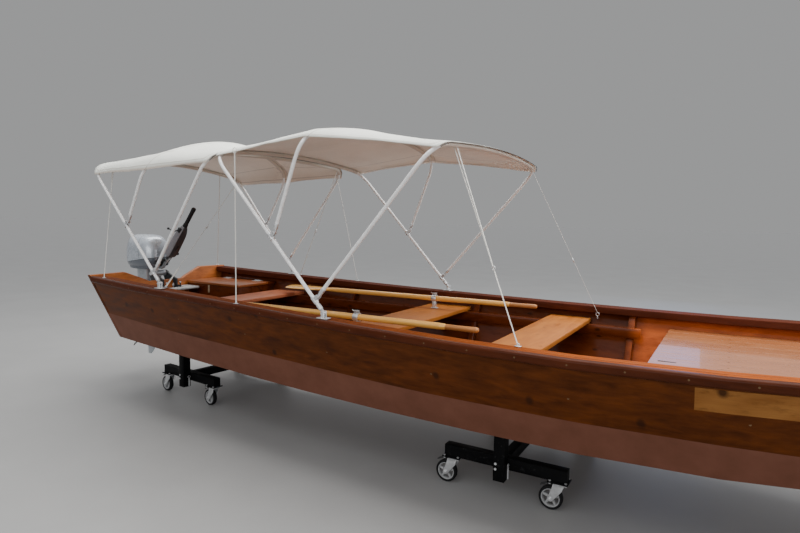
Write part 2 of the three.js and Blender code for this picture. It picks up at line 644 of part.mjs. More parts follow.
// Oars, laid on the aft and middle thwarts with their blades aft.
const oar = { x: -2610, y: 453, z: 765.6, length: 1990, lockAt: 1290, rise: 16.6, blade: 430, shaft: 17 };
for (const [name, side] of [['starboard', -1], ['port', 1]]) {
  const frame = frameAt(ferry, oar.x, side * oar.y, oar.z);
  frame.rotation.y = -Math.atan2(oar.rise, oar.lockAt);
  const bladePlate = loft([[0, 46, 6], [60, 55, 7], [300, 44, 7], [oar.blade, 18, 9]].map(([x, b, h]) => (
    [[x, -b, -h], [x, b, -h], [x, b, h], [x, -b, h]]
  ))).rotateX(side * rad(8));
  add(frame, `oar_${name}`, join([
    bladePlate, rod('x', oar.shaft, oar.length - 500, 340 + (oar.length - 500) / 2, 0, 0),
    rod('x', 13.5, 170, oar.length - 85, 0, 0),
  ]), oarWood);
  const clampBlank = join([
    rod('x', 24, 32, 0, 0, 0), boxBetween(-13, 13, -11, 11, thwartTop + 2 * seam - oar.z - oar.rise, -18),
  ]);
  add(ferry, `oar_clamp_${name}`, cut(clampBlank, [rod('x', oar.shaft + 1, 60, 0, 0, 0)]), steel,
    oar.x + oar.lockAt, side * oar.y, oar.z + oar.rise);
}

function wheelSolid() {
  const { radius, width, bore } = wheel;
  const half = width / 2;
  const section = [
    [bore, -half], [18, -half], [21, -8], [38, -8], [41, -half], [radius - 4, -half], [radius, -half + 5],
    [radius, half - 5], [radius - 4, half], [41, half], [38, 8], [21, 8], [18, half],
    [bore, half], [bore, -half],
  ];
  return turned(section, 22).rotateZ(Math.PI / 2);
}

function forkSolid() {
  const { trail, plateTop } = caster;
  const inner = wheel.width / 2 + 3;
  const arm = prismY([
    [-24, 126], [24, 126], [18, 100], [-trail + 14, wheel.radius - 4], [-trail + 6, wheel.radius - 13],
    [-trail - 6, wheel.radius - 13], [-trail - 14, wheel.radius - 4], [-30, 100],
  ], inner, inner + 4);
  return join([
    rod('z', 28, 14, 0, 0, plateTop - 13, 18), arm, arm.clone().translate(0, -2 * inner - 4, 0),
    rod('y', 6, 2 * inner + 8, -trail, 0, wheel.radius, 10),
  ]);
}

// Lowest point of the bottom over a dolly's bearer, which lies across the boat.
function bearerTop({ x, turn, track }) {
  const reach = post.size / 2 + Math.abs(Math.sin(rad(turn))) * (track / 2 + 80);
  return Math.min(lineAt(x - reach).keel, lineAt(x).keel, lineAt(x + reach).keel) - 2 * seam;
}

for (const dolly of dollies) {
  const frame = frameAt(ferry, dolly.x, dolly.y, 0);
  frame.rotation.z = rad(dolly.turn);
  const low = caster.plateTop + seam;
  const high = low + beam.height;
  const top = bearerTop(dolly);
  const side = dolly.track / 2;
  const halfPost = post.size / 2;
  const postY = side + beam.width / 2 + halfPost - 1;
  const parts = [
    boxBetween(-24, 24, -side, side, low + 3, high - 3),
    boxBetween(-halfPost, halfPost, -postY - halfPost + 3, postY + halfPost - 3, top - 50, top),
  ];
  const corners = [];
  for (const sy of [-1, 1]) {
    const [beamLow, beamHigh] = [sy * side - beam.width / 2, sy * side + beam.width / 2];
    parts.push(boxBetween(-beam.half, beam.half, beamLow, beamHigh, low, high));
    const [postLow, postHigh] = [sy * postY - halfPost, sy * postY + halfPost];
    parts.push(boxBetween(-halfPost, halfPost, postLow, postHigh, post.foot, top - 4));
    for (const sx of [-1, 1]) corners.push([sx * caster.reach, sy * side]);
  }
  for (const [x, y] of corners) parts.push(boxBetween(x - 46, x + 46, y - 38, y + 38, low - 6, low + 1));
  add(frame, `${dolly.name}_dolly_frame`, join(parts), blackSteel);
  corners.forEach(([x, y], i) => {
    const swivel = frameAt(frame, x, y, 0);
    add(swivel, `${dolly.name}_fork_${i + 1}`, forkSolid(), steel);
    add(swivel, `${dolly.name}_wheel_${i + 1}`, wheelSolid(), wheelRubber, -caster.trail, 0, wheel.radius);
  });
}

export default ferry;
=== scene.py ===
import json
import math
from math import radians

import bmesh
import bpy
from mathutils import Matrix, Vector, noise

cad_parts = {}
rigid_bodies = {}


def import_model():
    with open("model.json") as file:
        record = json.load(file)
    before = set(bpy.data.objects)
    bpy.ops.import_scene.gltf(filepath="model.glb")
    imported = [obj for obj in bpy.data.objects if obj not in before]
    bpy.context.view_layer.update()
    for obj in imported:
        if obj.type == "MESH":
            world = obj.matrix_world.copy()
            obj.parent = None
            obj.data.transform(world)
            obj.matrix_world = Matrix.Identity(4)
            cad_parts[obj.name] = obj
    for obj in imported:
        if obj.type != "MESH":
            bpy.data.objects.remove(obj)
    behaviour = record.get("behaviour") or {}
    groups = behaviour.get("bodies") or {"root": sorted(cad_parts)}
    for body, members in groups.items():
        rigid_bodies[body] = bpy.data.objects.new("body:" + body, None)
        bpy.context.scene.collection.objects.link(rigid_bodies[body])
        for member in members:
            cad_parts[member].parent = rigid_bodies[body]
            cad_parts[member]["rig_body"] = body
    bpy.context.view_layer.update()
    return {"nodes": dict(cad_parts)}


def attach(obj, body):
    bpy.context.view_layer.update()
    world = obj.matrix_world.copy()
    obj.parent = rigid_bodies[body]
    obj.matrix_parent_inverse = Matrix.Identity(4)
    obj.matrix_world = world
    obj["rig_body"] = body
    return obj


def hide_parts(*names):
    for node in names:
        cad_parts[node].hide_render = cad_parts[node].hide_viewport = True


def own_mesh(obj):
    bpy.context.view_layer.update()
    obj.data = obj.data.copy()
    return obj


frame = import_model()
print("frame loaded:", len(frame["nodes"]), "nodes")

# The camera stands off the starboard side.
cameraSettings = {
    "place": (0.4, -2.92, 1.31),
    "right": (0.8598, 0.5103, 0.019),
    "up": (-0.0592, 0.0627, 0.9963),
    "back": (0.5072, -0.8577, 0.0841),
    "lens": 25.57,
    "sensor": 36,
}


def placeCamera(settings):
    data = bpy.data.cameras.new("ferryCamera")
    data.sensor_width = settings["sensor"]
    data.lens = settings["lens"]
    camera = bpy.data.objects.new("ferryCamera", data)
    columns = [Vector(settings[key]).normalized() for key in ("right", "up", "back")]
    camera.matrix_world = Matrix.Translation(settings["place"]) @ Matrix(columns).transposed().to_4x4()
    bpy.context.scene.collection.objects.link(camera)
    bpy.context.scene.camera = camera


placeCamera(cameraSettings)


# Small helpers for node trees. An input's value may be a number, a colour or another node's socket.
def setInputs(tree, node, inputs):
    for key, value in inputs.items():
        if isinstance(value, bpy.types.NodeSocket):
            tree.links.new(value, node.inputs[key])
        else:
            node.inputs[key].default_value = value


def addNode(tree, kind, inputs=None, **settings):
    made = tree.nodes.new(kind)
    for key, value in settings.items():
        setattr(made, key, value)
    setInputs(tree, made, inputs or {})
    return made


def mixColors(tree, amount, first, second, blend="MIX"):
    inputs = {0: amount, 6: first, 7: second}
    return addNode(tree, "ShaderNodeMix", inputs, data_type="RGBA", blend_type=blend).outputs[2]


def mixValues(tree, amount, first, second):
    return addNode(tree, "ShaderNodeMix", {0: amount, 2: first, 3: second}).outputs[0]


def calculate(tree, operation, *values):
    return addNode(tree, "ShaderNodeMath", dict(enumerate(values)), operation=operation).outputs[0]


def multiply(tree, result, *factors):
    for factor in factors:
        result = calculate(tree, "MULTIPLY", result, factor)
    return result


def between(tree, value, low, high):
    above = calculate(tree, "GREATER_THAN", value, low)
    return multiply(tree, above, calculate(tree, "LESS_THAN", value, high))


def remap(tree, value, low, high, toLow=0.0, toHigh=1.0):
    inputs = {"Value": value, "From Min": low, "From Max": high, "To Min": toLow, "To Max": toHigh}
    return addNode(tree, "ShaderNodeMapRange", inputs).outputs["Result"]


def noiseAt(tree, place, scale, detail=3.0, roughness=0.5, distortion=0.0):
    inputs = {"Vector": place, "Scale": scale, "Detail": detail, "Roughness": roughness,
              "Distortion": distortion}
    return addNode(tree, "ShaderNodeTexNoise", inputs).outputs[0]


def stretched(tree, place, scale, location=(0, 0, 0), rotation=(0, 0, 0)):
    inputs = {"Vector": place, "Location": location, "Rotation": rotation, "Scale": scale}
    return addNode(tree, "ShaderNodeMapping", inputs).outputs[0]


def splitVector(tree, vector):
    return addNode(tree, "ShaderNodeSeparateXYZ", {0: vector}).outputs


def firstChannel(tree, color):
    return addNode(tree, "ShaderNodeSeparateColor", {0: color}).outputs[0]


def readAttribute(tree, name):
    return addNode(tree, "ShaderNodeAttribute", attribute_name=name).outputs["Fac"]


def opaque(color, shade=1.0, lift=0.0):
    return (*(min(1, value * shade + lift) for value in color), 1)


def newGroup(name, inputs, outputs):
    group = bpy.data.node_groups.new(name, "ShaderNodeTree")
    for label, kind, value in inputs:
        socket = group.interface.new_socket(name=label, in_out="INPUT", socket_type="NodeSocket" + kind)
        if value is not None:
            socket.default_value = value
    for label, kind in outputs:
        group.interface.new_socket(name=label, in_out="OUTPUT", socket_type="NodeSocket" + kind)
    return group, group.nodes.new("NodeGroupInput").outputs, group.nodes.new("NodeGroupOutput").inputs


def useGroup(tree, group, inputs):
    return addNode(tree, "ShaderNodeGroup", inputs, node_tree=group).outputs


# Sawn wood with its grain along X: growth bands are contour lines of a slow noise, over streaks and fibres.
# Blotches are where the varnish has soaked in. Knots are small and dark.
# A layer is its stretch, then its noise's detail, roughness and distortion.
grainSettings = {
    "growth": ((0.42, 3.6, 3.6), 2.0, 0.45, 0.15), "bandCount": 160.0,
    "streaks": ((1.1, 24.0, 24.0), 5.0, 0.62, 0.0), "streakShare": 0.66,
    "fibres": ((6.0, 210.0, 210.0), 2.0, 0.6, 0.0),
    "blotches": ((6.5, 24.0, 24.0), 4.0, 0.6, 0.3),
    "knotsAlong": 4.6, "knotsAcross": 7.4, "knotEdge": 0.1, "knotHeart": 0.04, "knotShare": 0.5,
    "knotColor": (0.02, 0.008, 0.004, 1),
}


def buildWoodGrain():
    group, given, result = newGroup(
        "woodGrain",
        [
            ("Place", "Vector", None), ("Light", "Color", (0.5, 0.25, 0.1, 1)),
            ("Dark", "Color", (0.2, 0.08, 0.03, 1)), ("Bands", "Float", 0.6), ("Fibres", "Float", 0.35),
            ("Blotches", "Float", 0.5), ("Knots", "Float", 1.0),
        ],
        [("Color", "Color"), ("Height", "Float"), ("Rough", "Float")],
    )
    place = given["Place"]

    def layer(name):
        stretch, detail, roughness, distortion = grainSettings[name]
        return noiseAt(group, stretched(group, place, stretch), 1.0, detail, roughness, distortion)

    bands = calculate(group, "SINE", multiply(group, layer("growth"), grainSettings["bandCount"]))
    bands = remap(group, bands, -1.0, 1.0)
    streaks = remap(group, layer("streaks"), 0.25, 0.75)
    grain = mixValues(group, grainSettings["streakShare"], bands, streaks)
    fibres = layer("fibres")
    blotches = remap(group, layer("blotches"), 0.28, 0.72)
    tone = 0.5
    for value, weight in ((grain, "Bands"), (fibres, "Fibres"), (blotches, "Blotches")):
        tone = calculate(group, "MULTIPLY_ADD", calculate(group, "SUBTRACT", value, 0.5), given[weight], tone)
    color = mixColors(group, remap(group, tone, 0.08, 0.92), given["Dark"], given["Light"])
    parts = splitVector(group, place)
    along = multiply(group, parts["X"], grainSettings["knotsAlong"])
    across = multiply(group, calculate(group, "ADD", parts["Y"], parts["Z"]), grainSettings["knotsAcross"])
    flat = addNode(group, "ShaderNodeCombineXYZ", {0: along, 1: across}).outputs[0]
    cells = addNode(group, "ShaderNodeTexVoronoi", {"Vector": flat, "Scale": 1.0, "Randomness": 1.0},
                    voronoi_dimensions="2D").outputs
    knots = remap(group, cells["Distance"], grainSettings["knotEdge"], grainSettings["knotHeart"])
    chosen = calculate(group, "GREATER_THAN", firstChannel(group, cells["Color"]), grainSettings["knotShare"])
    knots = multiply(group, knots, chosen, given["Knots"])
    heart = mixColors(group, 0.8, given["Dark"], grainSettings["knotColor"])
    group.links.new(mixColors(group, knots, color, heart), result["Color"])
    group.links.new(calculate(group, "MULTIPLY_ADD", grain, 0.5, fibres), result["Height"])
    group.links.new(blotches, result["Rough"])
    return group


# Scuffs: short light scratches on painted metal.
def buildScuffs():
    group, given, result = newGroup(
        "scuffs", [("Place", "Vector", None), ("Amount", "Float", 0.5)], [("Mask", "Float")])
    scratches = noiseAt(group, stretched(group, given["Place"], (38.0, 150.0, 60.0)), 1.0, 3.0, 0.6, 1.2)
    patches = noiseAt(group, given["Place"], 7.0, 3.0, 0.6)
    scratches, patches = remap(group, scratches, 0.6, 0.66), remap(group, patches, 0.5, 0.6)
    group.links.new(multiply(group, scratches, patches, given["Amount"]), result["Mask"])
    return group


# Dust and finger marks: a mask that is stronger on faces that look up, and a smear for the roughness.
def buildDust():
    group, given, result = newGroup(
        "settledDust",
        [("Place", "Vector", None), ("Facing", "Vector", None), ("Amount", "Float", 0.3)],
        [("Mask", "Float"), ("Smear", "Float")],
    )
    level = remap(group, splitVector(group, given["Facing"])["Z"], 0.2, 1.0)
    patches = remap(group, noiseAt(group, given["Place"], 14.0, 5.0, 0.65), 0.35, 0.7)
    group.links.new(multiply(group, level, patches, given["Amount"]), result["Mask"])
    smear = noiseAt(group, given["Place"], 5.0, 3.0, 0.5, 0.6)
    group.links.new(remap(group, smear, 0.3, 0.7), result["Smear"])
    return group


# Plain weave from a UV map in metres: threads over and under.
def buildWeave():
    group, given, result = newGroup(
        "plainWeave", [("Place", "Vector", None), ("Threads", "Float", 900.0)], [("Height", "Float")])
    inputs = {0: given["Place"], "Scale": given["Threads"]}
    place = addNode(group, "ShaderNodeVectorMath", inputs, operation="SCALE").outputs[0]
    inputs = {"Vector": place, "Scale": 0.5, "Distortion": 0.3}
    warp, weft = (addNode(group, "ShaderNodeTexWave", inputs, bands_direction=way).outputs[1] for way in "XY")
    group.links.new(calculate(group, "MAXIMUM", warp, weft), result["Height"])
    return group


woodGrain = buildWoodGrain()
settledDust = buildDust()
plainWeave = buildWeave()
scuffs = buildScuffs()


def newMaterial(name):
    material = bpy.data.materials.new(name)
    material.use_nodes = True
    tree = material.node_tree
    shader = tree.nodes["Principled BSDF"]
    spot = addNode(tree, "ShaderNodeTexCoord").outputs
    return material, tree, shader, spot


def bumpFrom(tree, height, strength, distance):
    inputs = {"Height": height, "Strength": strength, "Distance": distance}
    return addNode(tree, "ShaderNodeBump", inputs).outputs[0]


# Varnished wood. "turn" is in degrees and lays the grain along another axis than X.
def buildWood(name, light, dark, grain, rough, varnish, turn=0, shift=(0, 0, 0), planks=0.0, finish=None):
    bands, fibres, blotches, knots = grain
    coat, coatRough, shine = varnish
    material, tree, shader, spot = newMaterial(name)
    place = stretched(tree, spot["Object"], (1, 1, 1), shift, (0, 0, radians(turn)))
    wood = useGroup(tree, woodGrain, {"Place": place, "Light": opaque(light), "Dark": opaque(dark),
                                      "Bands": bands, "Fibres": fibres, "Blotches": blotches, "Knots": knots})
    color = wood["Color"]
    if planks:
        tone = multiply(tree, readAttribute(tree, "boardTone"), planks)
        color = mixColors(tree, tone, color, opaque(dark))
    gloss = remap(tree, wood["Rough"], 0, 1, *rough)
    if finish:
        color, gloss = finish(tree, spot, color, gloss)
    setInputs(tree, shader, {"Base Color": color, "Roughness": gloss, "Specular IOR Level": shine,
                             "Coat Weight": coat, "Coat Roughness": coatRough,
                             "Normal": bumpFrom(tree, wood["Height"], 0.12, 0.0005)})
    return material


# Painted below a line that follows the sheer, outside only; a pale board let into the starboard side.
hullFinish = {
    "paintLine": [(-3.6, 0.602), (-2.8, 0.561), (-1.7, 0.528), (-0.9, 0.508), (-0.1, 0.509),
                  (0.62, 0.523), (1.7, 0.585), (2.6, 0.678), (3.3, 0.78), (3.95, 0.87)],
    "lineBlur": 0.0008, "paint": (0.172, 0.069, 0.043), "paintDark": (0.14792, 0.05934, 0.03698, 1),
    "paintLight": (0.1892, 0.07728, 0.04945, 1), "paintRough": 0.5,
    "paleBoard": {"aft": 0.305, "fore": 1.62, "low": 0.655, "high": 0.748, "rise": 0.052},
    "paleWood": {"Light": (0.36, 0.16, 0.044, 1), "Dark": (0.2, 0.073, 0.017, 1), "Bands": 0.7,
                 "Fibres": 0.4, "Blotches": 0.2, "Knots": 1.0},
    "paleShift": (0.4, 0, 0.2), "paleStain": (0.1, 0.035, 0.008, 1), "stainShare": 0.5,
}


def hullPaintMask(tree, spot, where):
    line = hullFinish["paintLine"]
    start, end = line[0][0], line[-1][0]
    ramp = addNode(tree, "ShaderNodeValToRGB", {0: remap(tree, where["X"], start, end)})
    stops = ramp.color_ramp.elements
    for x, _ in line[1:-1]:
        stops.new((x - start) / (end - start))
    for stop, (_, z) in zip(stops, line):
        stop.color = (z, z, z, 1)
    below = calculate(tree, "SUBTRACT", firstChannel(tree, ramp.outputs[0]), where["Z"])
    facing = splitVector(tree, spot["Normal"])
    sides = multiply(tree, facing["Y"], where["Y"])
    ends = multiply(tree, facing["X"], where["X"], 0.2)
    outside = calculate(tree, "GREATER_THAN", calculate(tree, "MAXIMUM", sides, ends), 0.05)
    under = calculate(tree, "LESS_THAN", facing["Z"], -0.6)
    painted = remap(tree, below, -hullFinish["lineBlur"], hullFinish["lineBlur"])
    return multiply(tree, painted, calculate(tree, "MAXIMUM", outside, under))


def paintedSide(tree, spot, color, roughness):
    where = splitVector(tree, spot["Object"])
    mask = hullPaintMask(tree, spot, where)
    place = stretched(tree, spot["Object"], (1, 1, 1), hullFinish["paleShift"])
    wood = useGroup(tree, woodGrain, {"Place": place, **hullFinish["paleWood"]})
    board = hullFinish["paleBoard"]
    sheer = remap(tree, where["X"], board["aft"], board["fore"], 0.0, board["rise"])
    level = calculate(tree, "SUBTRACT", where["Z"], sheer)
    pale = multiply(tree, between(tree, where["X"], board["aft"], board["fore"]),
                    between(tree, level, board["low"], board["high"]),
                    calculate(tree, "LESS_THAN", where["Y"], 0.0))
    stain = noiseAt(tree, stretched(tree, spot["Object"], (9.0, 22.0, 22.0)), 1.0, 4.0, 0.6)
    stain = multiply(tree, remap(tree, stain, 0.55, 0.68), hullFinish["stainShare"])
    color = mixColors(tree, pale, color, mixColors(tree, stain, wood["Color"], hullFinish["paleStain"]))
    chalk = remap(tree, noiseAt(tree, spot["Object"], 9.0, 5.0, 0.6), 0.3, 0.7)
    paint = mixColors(tree, chalk, hullFinish["paintDark"], hullFinish["paintLight"])
    return mixColors(tree, mask, color, paint), mixValues(tree, mask, roughness, hullFinish["paintRough"])


# Painted shade: varnished wood made darker aft of a place, for the awnings' shade on the inner planking
# behind the foredeck's knee and on the starboard rail's tops.
def shadedAft(start, end, aftShade):
    def finish(tree, spot, color, roughness):
        shade = remap(tree, splitVector(tree, spot["Object"])["X"], start, end, aftShade, 1.0)
        shade = addNode(tree, "ShaderNodeCombineColor", {0: shade, 1: shade, 2: shade}).outputs[0]
        return mixColors(tree, 1.0, color, shade, "MULTIPLY"), roughness
    return finish


# Paint, metal and plastic. "grain" is a fine moulded texture and "wear" is how far scuffs show.
def buildPaint(name, color, rough=0.5, metallic=0.0, dust=0.0, dustColor=(0.4, 0.38, 0.35), coat=0.0,
               grain=0.0, wear=0.0, finish=None, shine=0.5):
    material, tree, shader, spot = newMaterial(name)
    marks = useGroup(tree, settledDust, {"Place": spot["Object"], "Facing": spot["Normal"], "Amount": dust})
    flecks = remap(tree, noiseAt(tree, spot["Object"], 60.0, 3.0, 0.6), 0.3, 0.7)
    base = mixColors(tree, flecks, opaque(color, 0.88), opaque(color, 1.1))
    if wear:
        worn = useGroup(tree, scuffs, {"Place": spot["Object"], "Amount": wear})["Mask"]
        base = mixColors(tree, worn, base, opaque(color, 1.5, 0.12))
    height = noiseAt(tree, spot["Object"], 450.0 if grain else 90.0, 2.0)
    if finish:
        base, height = finish(tree, spot, base, height)
    roughness = remap(tree, marks["Smear"], 0, 1, rough * 0.85, min(1, rough * 1.25))
    setInputs(tree, shader, {"Base Color": mixColors(tree, marks["Mask"], base, opaque(dustColor)),
                             "Roughness": roughness,
                             "Metallic": metallic, "Specular IOR Level": shine, "Coat Weight": coat,
                             "Coat Roughness": 0.1, "Normal": bumpFrom(tree, height, 0.05 + grain, 0.0004)})
    return material


# The cowl is silver down to a slanting joint, with a darker pan below it and an upright seam at its side.
cowlFinish = {
    "jointAft": (-3.879, 0.912), "jointRise": 0.155, "seamTop": (-3.662, 1.145), "seamLean": 0.1,
    "groove": 0.0016, "grooveDepth": 6.0, "pan": (0.145, 0.165, 0.195), "line": (0.015, 0.017, 0.02, 1),
}


def twoToneCowl(tree, spot, color, height):
    where = splitVector(tree, spot["Object"])
    (aftX, aftZ), (seamX, seamZ) = cowlFinish["jointAft"], cowlFinish["seamTop"]
    fromAft = calculate(tree, "SUBTRACT", where["X"], aftX)
    rise = calculate(tree, "MULTIPLY_ADD", fromAft, cowlFinish["jointRise"], aftZ)
    above = calculate(tree, "SUBTRACT", where["Z"], rise)
    fromTop = calculate(tree, "SUBTRACT", seamZ, where["Z"])
    lean = calculate(tree, "MULTIPLY_ADD", fromTop, cowlFinish["seamLean"], seamX)
    aside = calculate(tree, "ABSOLUTE", calculate(tree, "SUBTRACT", where["X"], lean))
    half = cowlFinish["groove"]
    seam = multiply(tree, remap(tree, aside, half, half * 0.5), remap(tree, above, 0.0, 0.001))
    joint = remap(tree, calculate(tree, "ABSOLUTE", above), half * 1.3, half * 0.7)
    groove = calculate(tree, "MAXIMUM", seam, joint)
    color = mixColors(tree, remap(tree, above, 0.0005, -0.0005), color, opaque(cowlFinish["pan"]))
    sunk = calculate(tree, "SUBTRACT", height, multiply(tree, groove, cowlFinish["grooveDepth"]))
    return mixColors(tree, groove, color, cowlFinish["line"]), sunk


# Awning cloth: weave, a turned hem with its row of stitches, sewn seams, soil, and a lighter, warmer
# underside that is painted light shining through the cloth.
clothFinish = {
    "top": (0.92, 0.94, 0.87), "under": (0.97, 0.87, 0.76), "thread": (0.38, 0.33, 0.28, 1),
    "weaveShadow": (0.25, 0.21, 0.18, 1), "soil": 0.14, "hem": 0.026, "stitch": 0.006, "stitchShow": 0.5,
    "threads": 700.0, "rough": 0.88, "sheen": 0.15, "bump": 0.25,
}


def buildCloth(name, settings):
    material, tree, shader, spot = newMaterial(name)
    weave = useGroup(tree, plainWeave, {"Place": spot["UV"], "Threads": settings["threads"]})["Height"]
    soil = noiseAt(tree, spot["Object"], 2.2, 5.0, 0.6, 0.5)
    cleaner, top, under = 1 - settings["soil"], settings["top"], settings["under"]
    outer = mixColors(tree, remap(tree, soil, 0.35, 0.75), opaque(top), opaque(top, cleaner))
    inner = mixColors(tree, remap(tree, soil, 0.3, 0.7), opaque(under), opaque(under, cleaner))
    # The underside's colour is a painted glow, standing in for light that the real cloth lets through.
    upper = remap(tree, splitVector(tree, spot["Normal"])["Z"], -0.25, 0.15)
    color = mixColors(tree, upper, inner, outer)
    color = mixColors(tree, remap(tree, weave, 0.0, 0.6, 0.14, 0.0), color, settings["weaveShadow"])
    hem = calculate(tree, "SUBTRACT", readAttribute(tree, "hemDistance"), settings["hem"])
    seam = calculate(tree, "ABSOLUTE", readAttribute(tree, "seamDistance"))
    line = calculate(tree, "MINIMUM", calculate(tree, "ABSOLUTE", hem), seam)
    stitch = remap(tree, line, settings["stitch"], settings["stitch"] * 0.4)
    color = mixColors(tree, multiply(tree, stitch, settings["stitchShow"]), color, settings["thread"])
    folds = noiseAt(tree, stretched(tree, spot["Object"], (5.0, 11.0, 5.0)), 1.0, 3.0, 0.5, 0.8)
    height = calculate(tree, "MULTIPLY_ADD", folds, 6.0, weave)
    height = calculate(tree, "SUBTRACT", height, multiply(tree, stitch, 1.2))
    setInputs(tree, shader, {"Base Color": color, "Roughness": settings["rough"],
                             "Sheen Weight": settings["sheen"],
                             "Normal": bumpFrom(tree, height, settings["bump"], 0.0012)})
    return material


# Woven strap: ribs across it, and a little soil.
webbingFinish = {"color": (0.84, 0.83, 0.78), "soiled": 0.72, "ribs": 260.0, "rough": 0.85, "sheen": 0.2}


def buildWebbing(name, settings):
    material, tree, shader, spot = newMaterial(name)
    inputs = {"Vector": spot["Object"], "Scale": settings["ribs"], "Distortion": 1.0}
    ribs = addNode(tree, "ShaderNodeTexWave", inputs, bands_direction="Z").outputs[1]
    soil = noiseAt(tree, spot["Object"], 30.0, 3.0, 0.6)
    shade = calculate(tree, "MULTIPLY_ADD", ribs, 0.25, multiply(tree, soil, 0.5))
    color = mixColors(tree, shade, opaque(settings["color"]), opaque(settings["color"], settings["soiled"]))
    setInputs(tree, shader, {"Base Color": color, "Roughness": settings["rough"],
                             "Sheen Weight": settings["sheen"], "Normal": bumpFrom(tree, ribs, 0.3, 0.0004)})
    return material


# Each wood is its light and dark colour; how far bands, fibres, blotches and knots show; its range of
# roughness; the coat's weight and roughness with the shine; and what else it needs.
woodFinishes = {
    "hullSide": ((0.138, 0.037, 0.0066), (0.047, 0.0115, 0.0025), (0.16, 0.28, 0.75, 0.75), (0.3, 0.46),
                 (0.04, 0.14, 0.06), {"finish": paintedSide}),
    "railWood": ((0.098, 0.0235, 0.0078), (0.042, 0.0095, 0.0034), (0.3, 0.3, 0.4, 0.0), (0.24, 0.36),
                 (0.08, 0.05, 0.05), {}),
    "shadedInwaleWood": ((0.105, 0.026, 0.012), (0.055, 0.013, 0.006), (0.3, 0.3, 0.5, 0.0), (0.35, 0.45),
                   (0.05, 0.12, 0.05), {"shift": (0.3, 0.2, 0.7)}),
    "innerWood": ((0.64, 0.135, 0.02), (0.32, 0.056, 0.008), (0.2, 0.3, 0.75, 0.8), (0.22, 0.38),
                  (0.15, 0.08, 0.15),
                  {"shift": (0.7, 0.2, 0.1), "finish": shadedAft(-0.13, -0.03, 0.22)}),
    "stripWood": ((0.43, 0.1, 0.013), (0.245, 0.05, 0.006), (0.3, 0.35, 0.5, 0.0), (0.42, 0.52),
                  (0.0, 0.1, 0.03), {"shift": (0.1, 0.4, 0.3), "finish": shadedAft(-0.8, 0.5, 0.5)}),
    "portStripWood": ((0.105, 0.026, 0.012), (0.055, 0.013, 0.006), (0.3, 0.35, 0.5, 0.0), (0.45, 0.55),
                      (0.0, 0.1, 0.02), {"shift": (0.6, 0.1, 0.5)}),
    "seatWood": ((0.52, 0.19, 0.038), (0.34, 0.1, 0.016), (0.45, 0.35, 0.45, 0.3), (0.36, 0.5),
                 (0.05, 0.25, 0.12), {"turn": 90, "shift": (0.33, 0.1, 0)}),
    "rosySeatWood": ((0.68, 0.235, 0.112), (0.41, 0.116, 0.049), (0.4, 0.3, 0.45, 0.2), (0.36, 0.5),
                     (0.12, 0.25, 0.3), {"turn": 90, "shift": (0.8, 0.5, 0)}),
    "deckWood": ((0.42, 0.164, 0.066), (0.285, 0.1, 0.037), (0.25, 0.25, 0.4, 0.3), (0.22, 0.34),
                 (0.45, 0.04, 0.25), {"shift": (0.2, 0.15, 0.6), "planks": 0.4}),
    "slatWood": ((0.3, 0.075, 0.013), (0.11, 0.025, 0.005), (0.3, 0.3, 0.6, 0.4), (0.3, 0.5),
                 (0.15, 0.2, 0.2), {"shift": (0.5, 0.35, 0.2), "planks": 0.5}),
    "lidWood": ((0.36, 0.11, 0.028), (0.2, 0.054, 0.012), (0.35, 0.3, 0.5, 0.2), (0.34, 0.48),
                (0.2, 0.16, 0.25), {"shift": (0.9, 0.1, 0.4)}),
    "endWood": ((0.56, 0.175, 0.042), (0.24, 0.065, 0.014), (0.3, 0.3, 0.7, 0.4), (0.25, 0.4),
                (0.2, 0.1, 0.2), {"turn": 90, "finish": paintedSide}),
    "oarWood": ((0.97, 0.53, 0.122), (0.84, 0.4, 0.074), (0.4, 0.4, 0.4, 0.0), (0.2, 0.32),
                (0.6, 0.09, 0.4), {}),
    "gripWood": ((0.56, 0.23, 0.06), (0.34, 0.12, 0.028), (0.4, 0.4, 0.5, 0.0), (0.35, 0.5),
                 (0.2, 0.2, 0.5), {}),
}
